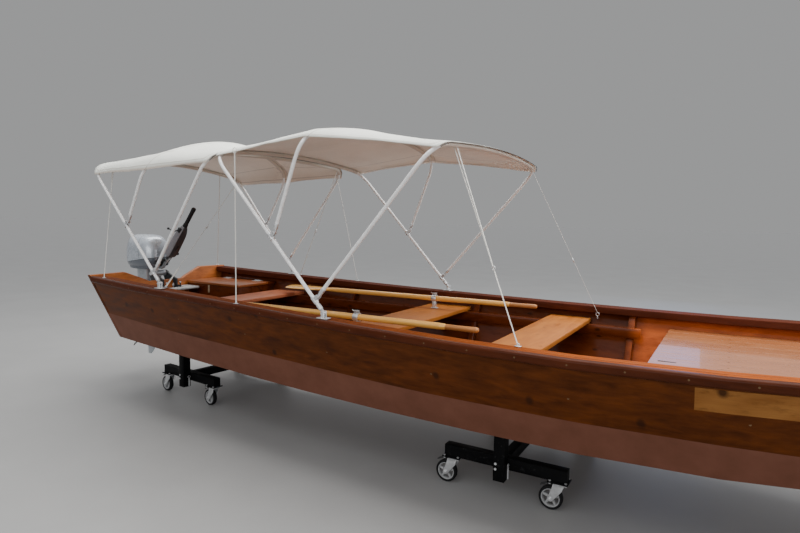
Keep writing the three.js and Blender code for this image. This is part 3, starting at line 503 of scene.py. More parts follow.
paintFinishes = {
    "bottomPaint": {"color": hullFinish["paint"], "rough": 0.55},
    "piping": {"color": (0.09, 0.085, 0.08), "rough": 0.8, "dust": 0.1, "grain": 0.1},
    "tube": {"color": (0.93, 0.93, 0.92), "rough": 0.34, "coat": 0.4},
    "fitting": {"color": (0.74, 0.75, 0.76), "rough": 0.3, "metallic": 0.7, "dust": 0.05},
    "cowlSilver": {"color": (0.54, 0.59, 0.65), "rough": 0.26, "metallic": 0.45, "dust": 0.1, "coat": 0.8,
                   "finish": twoToneCowl},
    "cowlGrey": {"color": cowlFinish["pan"], "rough": 0.42, "metallic": 0.1, "dust": 0.15},
    "legPaint": {"color": (0.42, 0.45, 0.48), "rough": 0.32, "metallic": 0.5, "dust": 0.15, "coat": 0.4},
    "castingBlack": {"color": (0.024, 0.026, 0.029), "rough": 0.42, "metallic": 0.2, "dust": 0.2,
                     "wear": 0.3},
    "tillerBlack": {"color": (0.046, 0.044, 0.048), "dust": 0.05, "grain": 0.15},
    "tillerLitGrey": {"color": (0.25, 0.24, 0.26), "rough": 0.45, "dust": 0.05, "grain": 0.1},
    "gripRubber": {"color": (0.01, 0.01, 0.011), "rough": 0.7, "dust": 0.05, "grain": 0.2},
    "dollyPaint": {"color": (0.0035, 0.0035, 0.004), "dust": 0.1, "dustColor": (0.06, 0.058, 0.055),
                   "wear": 0.2, "shine": 0.06},
    "tyre": {"color": (0.008, 0.008, 0.009), "rough": 0.75, "dust": 0.12, "dustColor": (0.12, 0.115, 0.11),
             "grain": 0.1, "shine": 0.25},
    "rim": {"color": (0.36, 0.365, 0.37), "rough": 0.45, "dust": 0.2},
    "trayPlastic": {"color": (0.5, 0.505, 0.5), "dust": 0.1, "grain": 0.1},
    "bronze": {"color": (0.16, 0.095, 0.045), "metallic": 0.7, "dust": 0.1},
    "latchPlate": {"color": (0.62, 0.52, 0.36), "rough": 0.4, "metallic": 0.4, "dust": 0.1},
    "darkSeam": {"color": (0.02, 0.012, 0.008), "rough": 0.6},
}
materials = {name: buildWood(name, *row, **more) for name, (*row, more) in woodFinishes.items()}
materials |= {name: buildPaint(name, **settings) for name, settings in paintFinishes.items()}
materials["canvas"] = buildCloth("canvas", clothFinish)
materials["webbing"] = buildWebbing("webbing", webbingFinish)
print("materials ready:", len(materials))


# Mesh helpers. Every piece is made in the row frame, in metres, so its object stays at the origin.
def finishPiece(name, bm, material, body, replaced=None, sharpAngle=32.0, recalculate=True):
    if recalculate:
        bmesh.ops.recalc_face_normals(bm, faces=bm.faces[:])
    mesh = bpy.data.meshes.new(name)
    bm.to_mesh(mesh)
    bm.free()
    for each in material if isinstance(material, list) else [material]:
        mesh.materials.append(materials[each])
    mesh.shade_smooth()
    mesh.set_sharp_from_angle(angle=radians(sharpAngle))
    piece = bpy.data.objects.new(name, mesh)
    bpy.context.scene.collection.objects.link(piece)
    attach(piece, body)
    if replaced:
        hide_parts(replaced)
    return piece


def easeEdges(bm, edges, width, segments=2, clamp=False):
    bmesh.ops.bevel(bm, geom=edges, offset=width, segments=segments, profile=0.5, affect="EDGES",
                    clamp_overlap=clamp, material=-1)


def steepEdges(bm, angle=60.0):
    return [edge for edge in bm.edges if edge.is_manifold and edge.calc_face_angle(0) > radians(angle)]


def moveAll(bm, matrix):
    bmesh.ops.transform(bm, matrix=matrix, verts=bm.verts[:])


# A solid through a row of outlines that all have the same number of points.
def extrudeThrough(bm, rings):
    rings = [[Vector(point) for point in ring] for ring in rings]
    face = bm.faces.new([bm.verts.new(point) for point in rings[0]])
    for before, ring in zip(rings, rings[1:]):
        made = bmesh.ops.extrude_face_region(bm, geom=[face, *face.edges, *face.verts])["geom"]
        face = next(item for item in made if isinstance(item, bmesh.types.BMFace))
        for vert in face.verts:
            nearest = min(range(len(before)), key=lambda i: (vert.co - before[i]).length_squared)
            vert.co = ring[nearest]


def addBlock(bm, low, high, bevel=0.0, segments=1, turn=None):
    low, high = Vector(low), Vector(high)
    made = bmesh.ops.create_cube(bm, size=1.0)["verts"]
    bmesh.ops.scale(bm, vec=high - low, verts=made)
    if turn is not None:
        bmesh.ops.rotate(bm, cent=(0, 0, 0), matrix=turn, verts=made)
    bmesh.ops.translate(bm, vec=(low + high) / 2, verts=made)
    if bevel:
        easeEdges(bm, list({edge for vert in made for edge in vert.link_edges}), bevel, segments, True)


def addBlockAt(bm, center, half, bevel=0.0, segments=1, turn=None):
    center, half = Vector(center), Vector(half)
    addBlock(bm, center - half, center + half, bevel, segments, turn)


def addRod(bm, start, end, radius, sides=20, endRadius=None, bevel=0.0):
    start, end = Vector(start), Vector(end)
    along = end - start
    place = Matrix.Translation((start + end) / 2) @ along.to_track_quat("Z", "Y").to_matrix().to_4x4()
    made = bmesh.ops.create_cone(bm, cap_ends=True, segments=sides, radius1=radius,
                                 radius2=radius if endRadius is None else endRadius, depth=along.length,
                                 matrix=place)["verts"]
    if bevel:
        caps = {face for vert in made for face in vert.link_faces if len(face.verts) > 4}
        easeEdges(bm, list({edge for face in caps for edge in face.edges}), bevel)


# The head of a plug, screw or bolt at a place on a surface: how deep it starts and how proud it stands.
def addStud(bm, place, way, deep, proud, radius, sides=12):
    way = Vector(way)
    addRod(bm, place - way * deep, place + way * proud, radius, sides)


# A turned shape: the profile is (distance along, radius) from start, spun round the line start to end.
def addTurned(bm, start, end, profile, steps=32, closed=False):
    start, end = Vector(start), Vector(end)
    axis = (end - start).normalized()
    side = axis.orthogonal().normalized()
    verts = [bm.verts.new(start + axis * along + side * radius) for along, radius in profile]
    pairs = list(zip(verts, verts[1:])) + ([(verts[-1], verts[0])] if closed else [])
    edges = [bm.edges.new(pair) for pair in pairs]
    before = set(bm.faces)
    bmesh.ops.spin(bm, geom=verts + edges, cent=start, axis=axis, angle=2 * math.pi, steps=steps,
                   use_merge=True)
    around = {vert for face in bm.faces if face not in before for vert in face.verts}
    bmesh.ops.remove_doubles(bm, verts=list(around), dist=1e-6)


# A ring of wire round the line through its centre along the normal.
def addRing(bm, center, normal, radius, wire, steps=20):
    corners = [(wire * math.cos(a), radius + wire * math.sin(a)) for a in (math.pi * k / 4 for k in range(8))]
    addTurned(bm, center, Vector(center) + Vector(normal), corners, steps, True)


# Rows of numbers as stops on a smooth curve, with more rows put in between them.
def smoothRows(rows, steps):
    made = []
    for i in range(len(rows) - 1):
        four = rows[max(0, i - 1)], rows[i], rows[i + 1], rows[min(len(rows) - 1, i + 2)]
        for k in range(steps):
            t = k / steps
            made.append(tuple(
                0.5 * (2 * b + (c - a) * t + (2 * a - 5 * b + 4 * c - d) * t ** 2
                       + (3 * b - a - 3 * c + d) * t ** 3)
                for a, b, c, d in zip(*four)))
    return made + [tuple(rows[-1])]


# Half sizes a and b to a ring of [first, second] pairs, between an ellipse (2) and a box (6).
def softOutline(a, b, power, count):
    pairs = []
    for i in range(count):
        c, s = math.cos(2 * math.pi * i / count), math.sin(2 * math.pi * i / count)
        pairs.append((a * math.copysign(abs(c) ** (2 / power), c),
                      b * math.copysign(abs(s) ** (2 / power), s)))
    return pairs


# A CAD node's loose triangles, merged and flattened.
def mergedNode(node):
    bm = bmesh.new()
    bm.from_mesh(frame["nodes"][node].data)
    bmesh.ops.remove_doubles(bm, verts=bm.verts[:], dist=2e-6)
    bmesh.ops.dissolve_limit(bm, angle_limit=radians(0.6), verts=bm.verts[:], edges=bm.edges[:])
    return bm


# A copy of a CAD node with its edges eased.
def easedCopy(node, name, material, width):
    bm = mergedNode(node)
    bm.normal_update()
    easeEdges(bm, steepEdges(bm, 28), width, clamp=True)
    return finishPiece(name, bm, material, frame["nodes"][node]["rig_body"], node, recalculate=False)


# Hull lines: x of the top edge, x of the foot, half beam, rail's top, half floor, underside of the bottom.
hullLines = [
    (-3.4834, -3.3936, 0.616, 0.865, 0.44, 0.411),
    (-3.0, -3.0, 0.652, 0.847, 0.468, 0.397),
    (-2.6, -2.6, 0.674, 0.836, 0.491, 0.38),
    (-2.09, -2.09, 0.701, 0.823, 0.517, 0.362),
    (-1.6, -1.6, 0.731, 0.811, 0.539, 0.3515),
    (-1.1, -1.1, 0.763, 0.8015, 0.557, 0.346),
    (-0.6, -0.6, 0.788, 0.795, 0.566, 0.345),
    (-0.113, -0.113, 0.792, 0.7945, 0.5635, 0.3465),
    (0.4, 0.4, 0.766, 0.801, 0.543, 0.363),
    (1.0, 1.0, 0.7045, 0.8205, 0.4965, 0.41),
    (1.7, 1.7, 0.605, 0.856, 0.418, 0.492),
    (2.3, 2.3, 0.501, 0.893, 0.336, 0.572),
    (2.9, 2.9, 0.38, 0.936, 0.245, 0.66),
    (3.45, 3.4, 0.256, 0.981, 0.164, 0.738),
    (3.8024, 3.6986, 0.166, 1.015, 0.104, 0.79),
]
hullShell = {"plank": 0.0238, "overhang": 0.024, "railHeight": 0.042, "underRail": 0.0003,
             "seamShare": 0.62, "seamProud": 0.0006}
boatSides = (("starboard", -1), ("port", 1))


def hullAt(x):
    rows = [((row[0] + row[1]) / 2, *row[2:]) for row in hullLines]
    rows[0], rows[-1] = (hullLines[0][0], *hullLines[0][2:]), (hullLines[-1][0], *hullLines[-1][2:])
    for first, second in zip(rows, rows[1:]):
        if x <= second[0] or second is rows[-1]:
            share = (x - first[0]) / (second[0] - first[0])
            return [a + (b - a) * share for a, b in zip(first[1:], second[1:])]


def outerHalf(x, z):
    beam, rail, floor, keel = hullAt(x)
    top = rail - hullShell["railHeight"]
    return floor + (beam - hullShell["overhang"] - floor) * (z - keel) / (top - keel)


def innerHalf(x, z):
    return outerHalf(x, z) - hullShell["plank"]


def buildSides():
    thick, share = hullShell["plank"], hullShell["seamShare"]
    for name, side in boatSides:
        bm = bmesh.new()
        rings = []
        for xTop, xFoot, beam, rail, floor, keel in hullLines:
            top = rail - hullShell["railHeight"] - hullShell["underRail"]
            outer = beam - hullShell["overhang"]
            seam = (xFoot + (xTop - xFoot) * share,
                    side * (floor + (outer - floor) * share + hullShell["seamProud"]),
                    keel + (top - keel) * share)
            rings.append([(xFoot, side * floor, keel), seam, (xTop, side * outer, top),
                          (xTop, side * (outer - thick), top), (xFoot, side * (floor - thick), keel)])
        extrudeThrough(bm, rings)
        bmesh.ops.recalc_face_normals(bm, faces=bm.faces[:])
        for face in bm.faces:
            face.material_index = 1 if face.normal.y * side < -0.3 else 0
        woods = ["hullSide", "innerWood"]
        finishPiece(f"planking_{name}", bm, woods, "boat", f"side_{name}")


buildSides()

# The rail is four strips side by side, each with its outer and inner edge and its height over the line.
# The rub strip is dark all round. The others have tops of their own, lighter on the starboard side; the
# inwale's inner face is darker, painted shade.
railStrips = {
    "strips": [("rub", 0.0, 0.031, 0.0), ("edge", 0.0317, 0.0535, -0.0007), ("cap", 0.0542, 0.076, -0.0002),
               ("inwale", 0.0767, 0.108, -0.0006)],
    "low": -0.0415, "eased": 0.0012, "rounded": {"rub": 0.0125, "inwale": 0.0045},
    "tops": {"starboard": "stripWood", "port": "portStripWood"},
}
railScrews = {"aft": 0.08, "fore": 0.05, "every": 0.205, "drop": 0.022, "deep": 0.002, "proud": 0.0007,
              "radius": 0.0036}
sidePlugs = {"aft": 0.3, "fore": 0.3, "every": 0.61, "drop": 0.135, "lift": 0.0004, "deep": 0.003,
             "proud": 0.0008, "radius": 0.0045}


def buildRailStrip(name, side, label, out, inner, high):
    bm = bmesh.new()
    rings = []
    for xTop, _, beam, rail, _, _ in hullLines:
        low, top = rail + railStrips["low"], rail + high
        rings.append([(xTop, side * (beam - out), low), (xTop, side * (beam - out), top),
                      (xTop, side * (beam - inner), top), (xTop, side * (beam - inner), low)])
    extrudeThrough(bm, rings)
    bmesh.ops.recalc_face_normals(bm, faces=bm.faces[:])
    for face in bm.faces:
        if face.normal.z > 0.5 and label != "rub":
            face.material_index = 0
        else:
            # The inwale's inboard face gets a darker wood, painted shade.
            face.material_index = 2 if label == "inwale" and face.normal.y * side < -0.5 else 1
    # The rub strip's outer edges and the inwale's inner ones are rounded, the others only eased.
    corner = {"rub": out, "inwale": inner}.get(label, -1)
    beams = {round(row[0], 4): row[2] for row in hullLines}
    rounded, eased = [], []
    for edge in bm.edges:
        place, other = edge.verts[0].co, edge.verts[1].co
        if abs(place.x - other.x) > 0.05:
            isCorner = abs(beams[round(place.x, 4)] - abs(place.y) - corner) < 0.0002
            (rounded if isCorner else eased).append(edge)
    easeEdges(bm, eased, railStrips["eased"], 1, True)
    if label in railStrips["rounded"]:
        rounded = [edge for edge in rounded if edge.is_valid]
        easeEdges(bm, rounded, railStrips["rounded"][label], 5, True)
    woods = [railStrips["tops"][name], "railWood", "shadedInwaleWood"]
    replaced = f"rail_{name}" if label == "rub" else None
    finishPiece(f"rail_{label}_{name}", bm, woods, "boat", replaced, sharpAngle=50)


# A row of studs along a side. placeAt gives how far out and how high each one is.
def addStudRow(bm, side, row, placeAt):
    x = hullLines[0][0] + row["aft"]
    while x < hullLines[-1][0] - row["fore"]:
        y, z = placeAt(x)
        addStud(bm, Vector((x, side * y, z)), (0, side, 0), row["deep"], row["proud"], row["radius"])
        x += row["every"]


def screwPlace(x):
    beam, rail, _, _ = hullAt(x)
    return beam, rail - railScrews["drop"]


def plugPlace(x):
    z = hullAt(x)[1] - hullShell["railHeight"] - sidePlugs["drop"]
    return outerHalf(x, z) + sidePlugs["lift"], z


for name, side in boatSides:
    for label, out, inner, high in railStrips["strips"]:
        buildRailStrip(name, side, label, out, inner, high)
    studs = bmesh.new()
    addStudRow(studs, side, railScrews, screwPlace)
    addStudRow(studs, side, sidePlugs, plugPlace)
    finishPiece(f"rail_screws_{name}", studs, "bronze", "boat")
print("planking and rails done")

# Flat pieces that keep the CAD shape get eased edges and their own wood.
easedPieces = [
    ("bottom", "bottom_boards", "bottomPaint", "bottom_paint", 0.003),
    ("transom", "transom_board", "endWood", "varnished_wood", 0.004),
    ("bow_board", "bow_end_board", "endWood", "varnished_wood", 0.005),
    ("thwart_aft", "seat_aft", "rosySeatWood", "light_wood", 0.004),
    ("thwart_mid", "seat_mid", "seatWood", "light_wood", 0.004),
    ("thwart_fore", "seat_fore", "seatWood", "light_wood", 0.004),
    ("framing_starboard", "knees_starboard", "innerWood", "varnished_wood", 0.004),
    ("framing_port", "knees_port", "innerWood", "varnished_wood", 0.004),
    ("stern_box", "stern_box_panels", "innerWood", "varnished_wood", 0.002),
    ("stern_box_lid", "stern_box_cover", "lidWood", "varnished_wood", 0.005),
    ("motor_clamp", "clamp_bracket", "castingBlack", "motor_casting", 0.002),
    ("swivel_bracket", "swivel_casting", "legPaint", "motor_casting", 0.002),
    ("aft_dolly_frame", "dolly_aft", "dollyPaint", "dolly_paint", 0.003),
    ("fore_dolly_frame", "dolly_fore", "dollyPaint", "dolly_paint", 0.003),
]


# The end boards' outboard edges are dark like the planking that they meet.
def darkenOutboardEdges(name):
    board = bpy.data.objects[name].data
    board.materials.append(materials["hullSide"])
    for polygon in board.polygons:
        polygon.material_index = 1 if abs(polygon.normal.y) > 0.6 else 0


for node, name, material, slotName, width in easedPieces:
    easedCopy(node, name, material, width)
darkenOutboardEdges("transom_board")
darkenOutboardEdges("bow_end_board")
print("eased pieces done")

for holder in frame["nodes"]["foredeck"].material_slots:
    holder.material = materials["deckWood"]

# Boards laid fore and aft, each cut where the hull narrows past it. The deck hangs under the rail and the
# floor lies over the bottom. "clear" is the space that is left at the planking.
deckBoards = {"aft": 0.094, "fore": 3.7, "width": 0.118, "gap": 0.0014, "depth": 0.006, "edge": 0.0008,
              "underRail": 0.096, "clear": 0.002}
floorSlats = {"aft": -2.858, "fore": 0.898, "width": 0.086, "gap": 0.01, "depth": 0.0158, "edge": 0.002,
              "overBottom": 0.0403, "clear": 0.0525}
boardRules = {"eachSide": 8, "endMargin": 0.05, "cuts": 4, "narrowest": 0.006, "toneStride": 37, "tones": 11}


def deckTop(x):
    return hullAt(x)[1] - deckBoards["underRail"]


def floorTop(x):
    return hullAt(x)[3] + floorSlats["overBottom"]


def halfAcross(board, x, top):
    return innerHalf(x, top) - board["clear"]


def layBoards(name, board, topAt, material, replaced=None):
    bm = bmesh.new()
    tones = []
    width, gap, depth = board["width"], board["gap"], board["depth"]
    margin, cuts = boardRules["endMargin"], boardRules["cuts"]
    stations = [row[0] for row in hullLines if board["aft"] + margin < row[0] < board["fore"] - margin]
    marks = [board["aft"], *stations, board["fore"]]
    xs = {round(a + (b - a) * i / cuts, 5) for a, b in zip(marks, marks[1:]) for i in range(cuts + 1)}
    for index in range(-boardRules["eachSide"], boardRules["eachSide"]):
        low, high = index * width + gap / 2, (index + 1) * width - gap / 2
        rings = []
        for x in sorted(xs):
            top = topAt(x)
            half = halfAcross(board, x, top)
            if half - min(abs(low), abs(high)) >= boardRules["narrowest"]:
                y0, y1 = max(low, -half), min(high, half)
                rings.append([(x, y0, top), (x, y1, top), (x, y1, top - depth), (x, y0, top - depth)])
            elif rings:
                break
        if len(rings) > 1:
            before = len(bm.faces)
            extrudeThrough(bm, rings)
            tone = index * boardRules["toneStride"] % boardRules["tones"] / boardRules["tones"]
            tones += [tone] * (len(bm.faces) - before)
    layer = bm.faces.layers.float.new("boardTone")
    bm.faces.ensure_lookup_table()
    for face, tone in zip(bm.faces, tones):
        face[layer] = tone
    bmesh.ops.recalc_face_normals(bm, faces=bm.faces[:])
    easeEdges(bm, steepEdges(bm), board["edge"], 1)
    finishPiece(name, bm, material, "boat", replaced)


layBoards("deck_boards", deckBoards, deckTop, "deckWood")
layBoards("floor_slats", floorSlats, floorTop, "slatWood", "floorboards")

# Small things on the woodwork: finger slot, plugs, latch, lid hinges, a ring for the bow line, the tray.
deckSlot = {"x": 0.166, "y": -0.192, "length": 0.075, "width": 0.016, "sunk": 0.001, "proud": 0.0006,
            "eased": 0.0005}
seatPlugs = {"seats": [(-2.8, -2.56), (-1.44, -1.15), (-0.6, -0.352)], "top": 0.716, "fromEnd": 0.045,
             "fromSide": 0.075, "deep": 0.002, "proud": 0.0004, "radius": 0.0055, "sides": 14}
deckPlugs = {"rows": (8, 14), "eachSide": 4, "stagger": 0.012, "fromSide": 0.02, "deep": 0.003,
             "proud": 0.0003, "radius": 0.004}
boxLatch = {"x": -3.211, "halfWidth": 0.009, "y": (0.1868, 0.1896), "z": (0.692, 0.752), "eased": 0.001,
            "screwIn": 0.012, "screwY": (0.1885, 0.184), "screwRadius": 0.004}
boxHinges = {"xs": (-3.33, -2.99), "halfWidth": 0.035, "leafY": (0.47, 0.4985), "blockY": (0.508, 0.532),
             "z": (0.7752, 0.777), "eased": 0.0006, "pinY": 0.5068, "pinZ": 0.7784, "pinRadius": 0.003,
             "pinSides": 14}
bowRing = {"x": 3.6, "plate": (0.028, 0.02), "plateZ": (-0.001, 0.003), "eased": 0.0012,
           "eye": {"z": 0.01, "radius": 0.009, "wire": 0.0032},
           "ring": {"z": 0.0075, "radius": 0.03, "wire": 0.0038, "hang": 0.93, "normal": (0.08, 0, 1)}}
splashTray = {"corner": 0.05, "cornerSteps": 8, "rim": 0.002}


def buildDeckSlot():
    bm = bmesh.new()
    x, y, top = deckSlot["x"], deckSlot["y"], deckTop(deckSlot["x"])
    halfLength, halfWidth = deckSlot["length"] / 2, deckSlot["width"] / 2
    # The slot is a dark plate on the deck, painted shade standing in for its opening.
    addBlock(bm, (x - halfLength, y - halfWidth, top - deckSlot["sunk"]),
             (x + halfLength, y + halfWidth, top + deckSlot["proud"]), deckSlot["eased"])
    finishPiece("deck_finger_slot", bm, "darkSeam", "boat")


def buildWoodPlugs():
    bm = bmesh.new()
    top = seatPlugs["top"]
    for aft, fore in seatPlugs["seats"]:
        for x in (aft + seatPlugs["fromEnd"], (aft + fore) / 2, fore - seatPlugs["fromEnd"]):
            for side in (-1, 1):
                y = side * (innerHalf(x, top) - seatPlugs["fromSide"])
                addStud(bm, Vector((x, y, top)), (0, 0, 1), seatPlugs["deep"], seatPlugs["proud"],
                        seatPlugs["radius"], seatPlugs["sides"])
    for index, row in enumerate(hullLines[slice(*deckPlugs["rows"])]):
        x = row[0] + deckPlugs["stagger"] * (index % 2)
        reach = halfAcross(deckBoards, row[0], deckTop(row[0])) - deckPlugs["fromSide"]
        for k in range(-deckPlugs["eachSide"], deckPlugs["eachSide"] + 1):
            y = (k + 0.5) * deckBoards["width"]
            if abs(y) < reach:
                addStud(bm, Vector((x, y, deckTop(x))), (0, 0, 1), deckPlugs["deep"], deckPlugs["proud"],
                        deckPlugs["radius"])
    finishPiece("wood_plugs", bm, "railWood", "boat")


def buildBoxFittings():
    bm = bmesh.new()
    x, half, (front, back), (low, high) = (boxLatch[key] for key in ("x", "halfWidth", "y", "z"))
    addBlock(bm, (x - half, front, low), (x + half, back, high), boxLatch["eased"])
    for z in (low + boxLatch["screwIn"], high - boxLatch["screwIn"]):
        start, end = boxLatch["screwY"]
        addRod(bm, (x, start, z), (x, end, z), boxLatch["screwRadius"], 12)
    finishPiece("box_latch", bm, "latchPlate", "boat")
    leaves, knuckles = bmesh.new(), bmesh.new()
    low, high = boxHinges["z"]
    for x in boxHinges["xs"]:
        left, right = x - boxHinges["halfWidth"], x + boxHinges["halfWidth"]
        for bm, (near, far) in ((leaves, boxHinges["leafY"]), (knuckles, boxHinges["blockY"])):
            addBlock(bm, (left, near, low), (right, far, high), boxHinges["eased"])
        y, z = boxHinges["pinY"], boxHinges["pinZ"]
        addRod(knuckles, (left, y, z), (right, y, z), boxHinges["pinRadius"], boxHinges["pinSides"])
    finishPiece("box_hinge_leaves", leaves, "fitting", "lid")
    finishPiece("box_hinge_knuckles", knuckles, "fitting", "boat")


def buildBowRing():
    bm = bmesh.new()
    x, top = bowRing["x"], deckTop(bowRing["x"])
    halfLength, halfWidth = bowRing["plate"]
    low, high = bowRing["plateZ"]
    addBlock(bm, (x - halfLength, -halfWidth, top + low), (x + halfLength, halfWidth, top + high),
             bowRing["eased"])
    eye, ring = bowRing["eye"], bowRing["ring"]
    addRing(bm, (x, 0, top + eye["z"]), (0, 1, 0), eye["radius"], eye["wire"])
    center = (x - ring["radius"] * ring["hang"], 0, top + ring["z"])
    addRing(bm, center, ring["normal"], ring["radius"], ring["wire"], 32)
    finishPiece("bow_ring", bm, "fitting", "boat")


def buildTray():
    bm = mergedNode("splash_tray")
    front = max(vert.co.x for vert in bm.verts)

    def rise(edge):
        return abs(edge.verts[0].co.z - edge.verts[1].co.z)

    corners = [edge for edge in bm.edges
               if all(vert.co.x > front - 0.001 for vert in edge.verts) and rise(edge) > 0.005]
    easeEdges(bm, corners, splashTray["corner"], splashTray["cornerSteps"])
    easeEdges(bm, [edge for edge in steepEdges(bm) if rise(edge) < 0.001], splashTray["rim"])
    finishPiece("splash_board", bm, "trayPlastic", "boat", "splash_tray", recalculate=False)


buildDeckSlot()
buildWoodPlugs()
buildBoxFittings()
buildBowRing()
buildTray()
print("deck, floor and trims done")

# Awnings: the bent tubes, their sleeves and the cloth. Lengths along a bow start at its pivot.
# The main bow is its leg, lean in degrees and crown; the others start with their place on the main bow.
awningSizes = {
    "rear": {
        "pivot": (-2.716, 0.874), "halfFoot": 0.624, "halfTop": 0.65, "hemPoint": 0.25, "creaseSeed": 1.7,
        "main": (0.98, -41.0, 0.105), "mid": (0.48, 0.424, 28.5, 0.2),
        "front": (0.09, 0.872, 36.5, 0.028),
    },
    "fore": {
        "pivot": (-1.343, 0.836), "halfFoot": 0.708, "halfTop": 0.716, "hemPoint": 0.5, "creaseSeed": 4.3,
        "main": (1.118, -43.5, 0.08), "mid": (0.505, 0.528, 20.6, 0.088),
        "front": (0.082, 0.955, 41.3, 0.045),
    },
}
bowParts = ("main", "mid", "front")
bowShape = {"tube": 0.0096, "pivotOffset": 0.032, "shoulder": 0.13, "shoulderRise": 0.12, "start": 0.026,
            "steps": 8}
bowFittings = {
    "socket": (0.0215, 0.052), "socketRadius": 0.0118, "eye": (0.0085, 0.0052, 0.0165), "eyeAt": 0.008,
    "pin": 0.0165, "pinRadius": 0.0032, "nut": 0.002, "nutRadius": 0.0062, "collar": 0.019,
    "collarRadius": 0.0138, "cheek": (0.017, 0.0026, 0.01), "cheekAside": 0.0092, "cheekForward": 0.017,
}
clothShape = {
    "acrossSteps": 56, "alongSteps": 20, "lip": 0.02, "lipDrop": (0.003, 0.004), "inside": 0.0135,
    "thickness": 0.0022, "turnAt": 0.8, "sag": 0.01, "crease": 0.006, "pull": 0.003, "scallopFrom": 0.93,
    "scallopIn": 0.012, "scallopUp": 0.004, "extraWidth": 0.16, "pocket": 0.026, "gathered": 0.08,
}
clothEdges = {"piping": 0.0021, "pipingTo": 0.985, "pipingLift": 0.0128, "pipingShift": (0.0205, 0, -0.003),
              "pipingSteps": 48, "sleeve": 0.0125, "sleeveTo": 0.93, "sleeveSteps": 40}


# One bow as a rule for its line: where it starts, how it leans, and its [across, along] points.
def bowOf(name, part):
    awning = awningSizes[name]
    length, lean, crown = awning["main"]
    px, pz = awning["pivot"]
    if part == "main":
        return {"foot": awning["halfFoot"], "top": awning["halfTop"], "length": length, "crown": crown,
                "lean": radians(lean), "x": px, "z": pz}
    at, subLength, subLean, subCrown = awning[part]
    s, c = math.sin(radians(lean)), math.cos(radians(lean))
    offset = bowShape["pivotOffset"]
    foot = awning["halfFoot"] + (awning["halfTop"] - awning["halfFoot"]) * at / length
    return {"foot": foot, "top": awning["halfTop"], "length": subLength, "crown": subCrown,
            "lean": radians(subLean), "x": px + s * at + c * offset, "z": pz + c * at - s * offset}


def legAcross(bow, along):
    return bow["foot"] + (bow["top"] - bow["foot"]) * along / bow["length"]


def archPoint(bow, across):
    return bow["length"] + bow["crown"] * (1 - (across / bow["top"]) ** 2)


def shoulderPoint(bow, share):
    legEnd = bow["length"] - bowShape["shoulder"]
    archEnd = bow["top"] - bowShape["shoulder"]
    stops = ((legAcross(bow, legEnd), legEnd),
             (bow["top"], bow["length"] + bow["crown"] * bowShape["shoulderRise"]),
             (archEnd, archPoint(bow, archEnd)))
    weights = (1 - share) ** 2, 2 * share * (1 - share), share ** 2
    return tuple(sum(weight * value for weight, value in zip(weights, values)) for values in zip(*stops))


# Across-and-along point for t from -1 (starboard hem) to 1; the hem is part way down the shoulder.
def clothPoint(bow, t, hemShare):
    side, t = (-1, -t) if t < 0 else (1, t)
    turnAt = clothShape["turnAt"]
    if t > turnAt:
        y, s = shoulderPoint(bow, 1 - (t - turnAt) / (1 - turnAt) * (1 - hemShare))
    else:
        y = (bow["top"] - bowShape["shoulder"]) * t / turnAt
        s = archPoint(bow, y)
    return side * y, s


def inRow(bow, across, along, lift=0.0, forward=0.0):
    s, c = math.sin(bow["lean"]), math.cos(bow["lean"])
    out = along + lift
    return Vector((bow["x"] + s * out + c * forward, across, bow["z"] + c * out - s * forward))


def bowLine(bow):
    start, steps = bowShape["start"], bowShape["steps"]
    points = [(legAcross(bow, start), start)]
    points += [shoulderPoint(bow, i / steps) for i in range(steps + 1)]
    archEnd = bow["top"] - bowShape["shoulder"]
    for i in range(1, steps):
        y = archEnd * (1 - i / steps)
        points.append((y, archPoint(bow, y)))
    whole = [(-y, s) for y, s in points] + [(0.0, archPoint(bow, 0.0))] + points[::-1]
    return [inRow(bow, y, s) for y, s in whole]


def tubeAlong(name, points, radius, material, body, replaced=None, resolution=6):
    data = bpy.data.curves.new(name, "CURVE")
    data.dimensions = "3D"
    data.bevel_depth = radius
    data.bevel_resolution = resolution
    data.use_fill_caps = True
    data.resolution_u = 1
    spline = data.splines.new("POLY")
    spline.points.add(len(points) - 1)
    for spot, point in zip(spline.points, points):
        spot.co = (*point, 1.0)
    holder = bpy.data.objects.new(name + "_line", data)
    bpy.context.scene.collection.objects.link(holder)
    bpy.context.view_layer.update()
    mesh = bpy.data.meshes.new_from_object(holder)
    bpy.data.objects.remove(holder)
    bm = bmesh.new()
    bm.from_mesh(mesh)
    bmesh.ops.remove_doubles(bm, verts=bm.verts[:], dist=1e-6)
    finishPiece(name, bm, material, body, replaced, sharpAngle=60)


# A foot is its socket, eye, pin and two nuts. On the main bow each lower bow has a collar and two cheeks.
def addBowFoot(bm, bow, side, turn):
    foot = inRow(bow, side * bow["foot"], 0.0)
    tip = (inRow(bow, side * bow["foot"], 1.0) - foot).normalized()
    low, high = bowFittings["socket"]
    addRod(bm, foot + tip * low, foot + tip * high, bowFittings["socketRadius"], bevel=0.001)
    addBlockAt(bm, foot + tip * bowFittings["eyeAt"], bowFittings["eye"], 0.003, 2, turn)
    pin, nut = Vector((0, bowFittings["pin"], 0)), Vector((0, bowFittings["nut"], 0))
    addRod(bm, foot - pin, foot + pin, bowFittings["pinRadius"], 12)
    for end in (foot - pin, foot + pin):
        addRod(bm, end - nut, end + nut, bowFittings["nutRadius"], 6)


def addBowCollar(bm, bow, side, turn, at):
    y = side * legAcross(bow, at)
    half = bowFittings["collar"]
    addRod(bm, inRow(bow, y, at - half), inRow(bow, y, at + half), bowFittings["collarRadius"], bevel=0.0012)
    for aside in (-bowFittings["cheekAside"], bowFittings["cheekAside"]):
        middle = inRow(bow, y + aside, at, 0, bowFittings["cheekForward"])
        addBlockAt(bm, middle, bowFittings["cheek"], 0.0015, 1, turn)


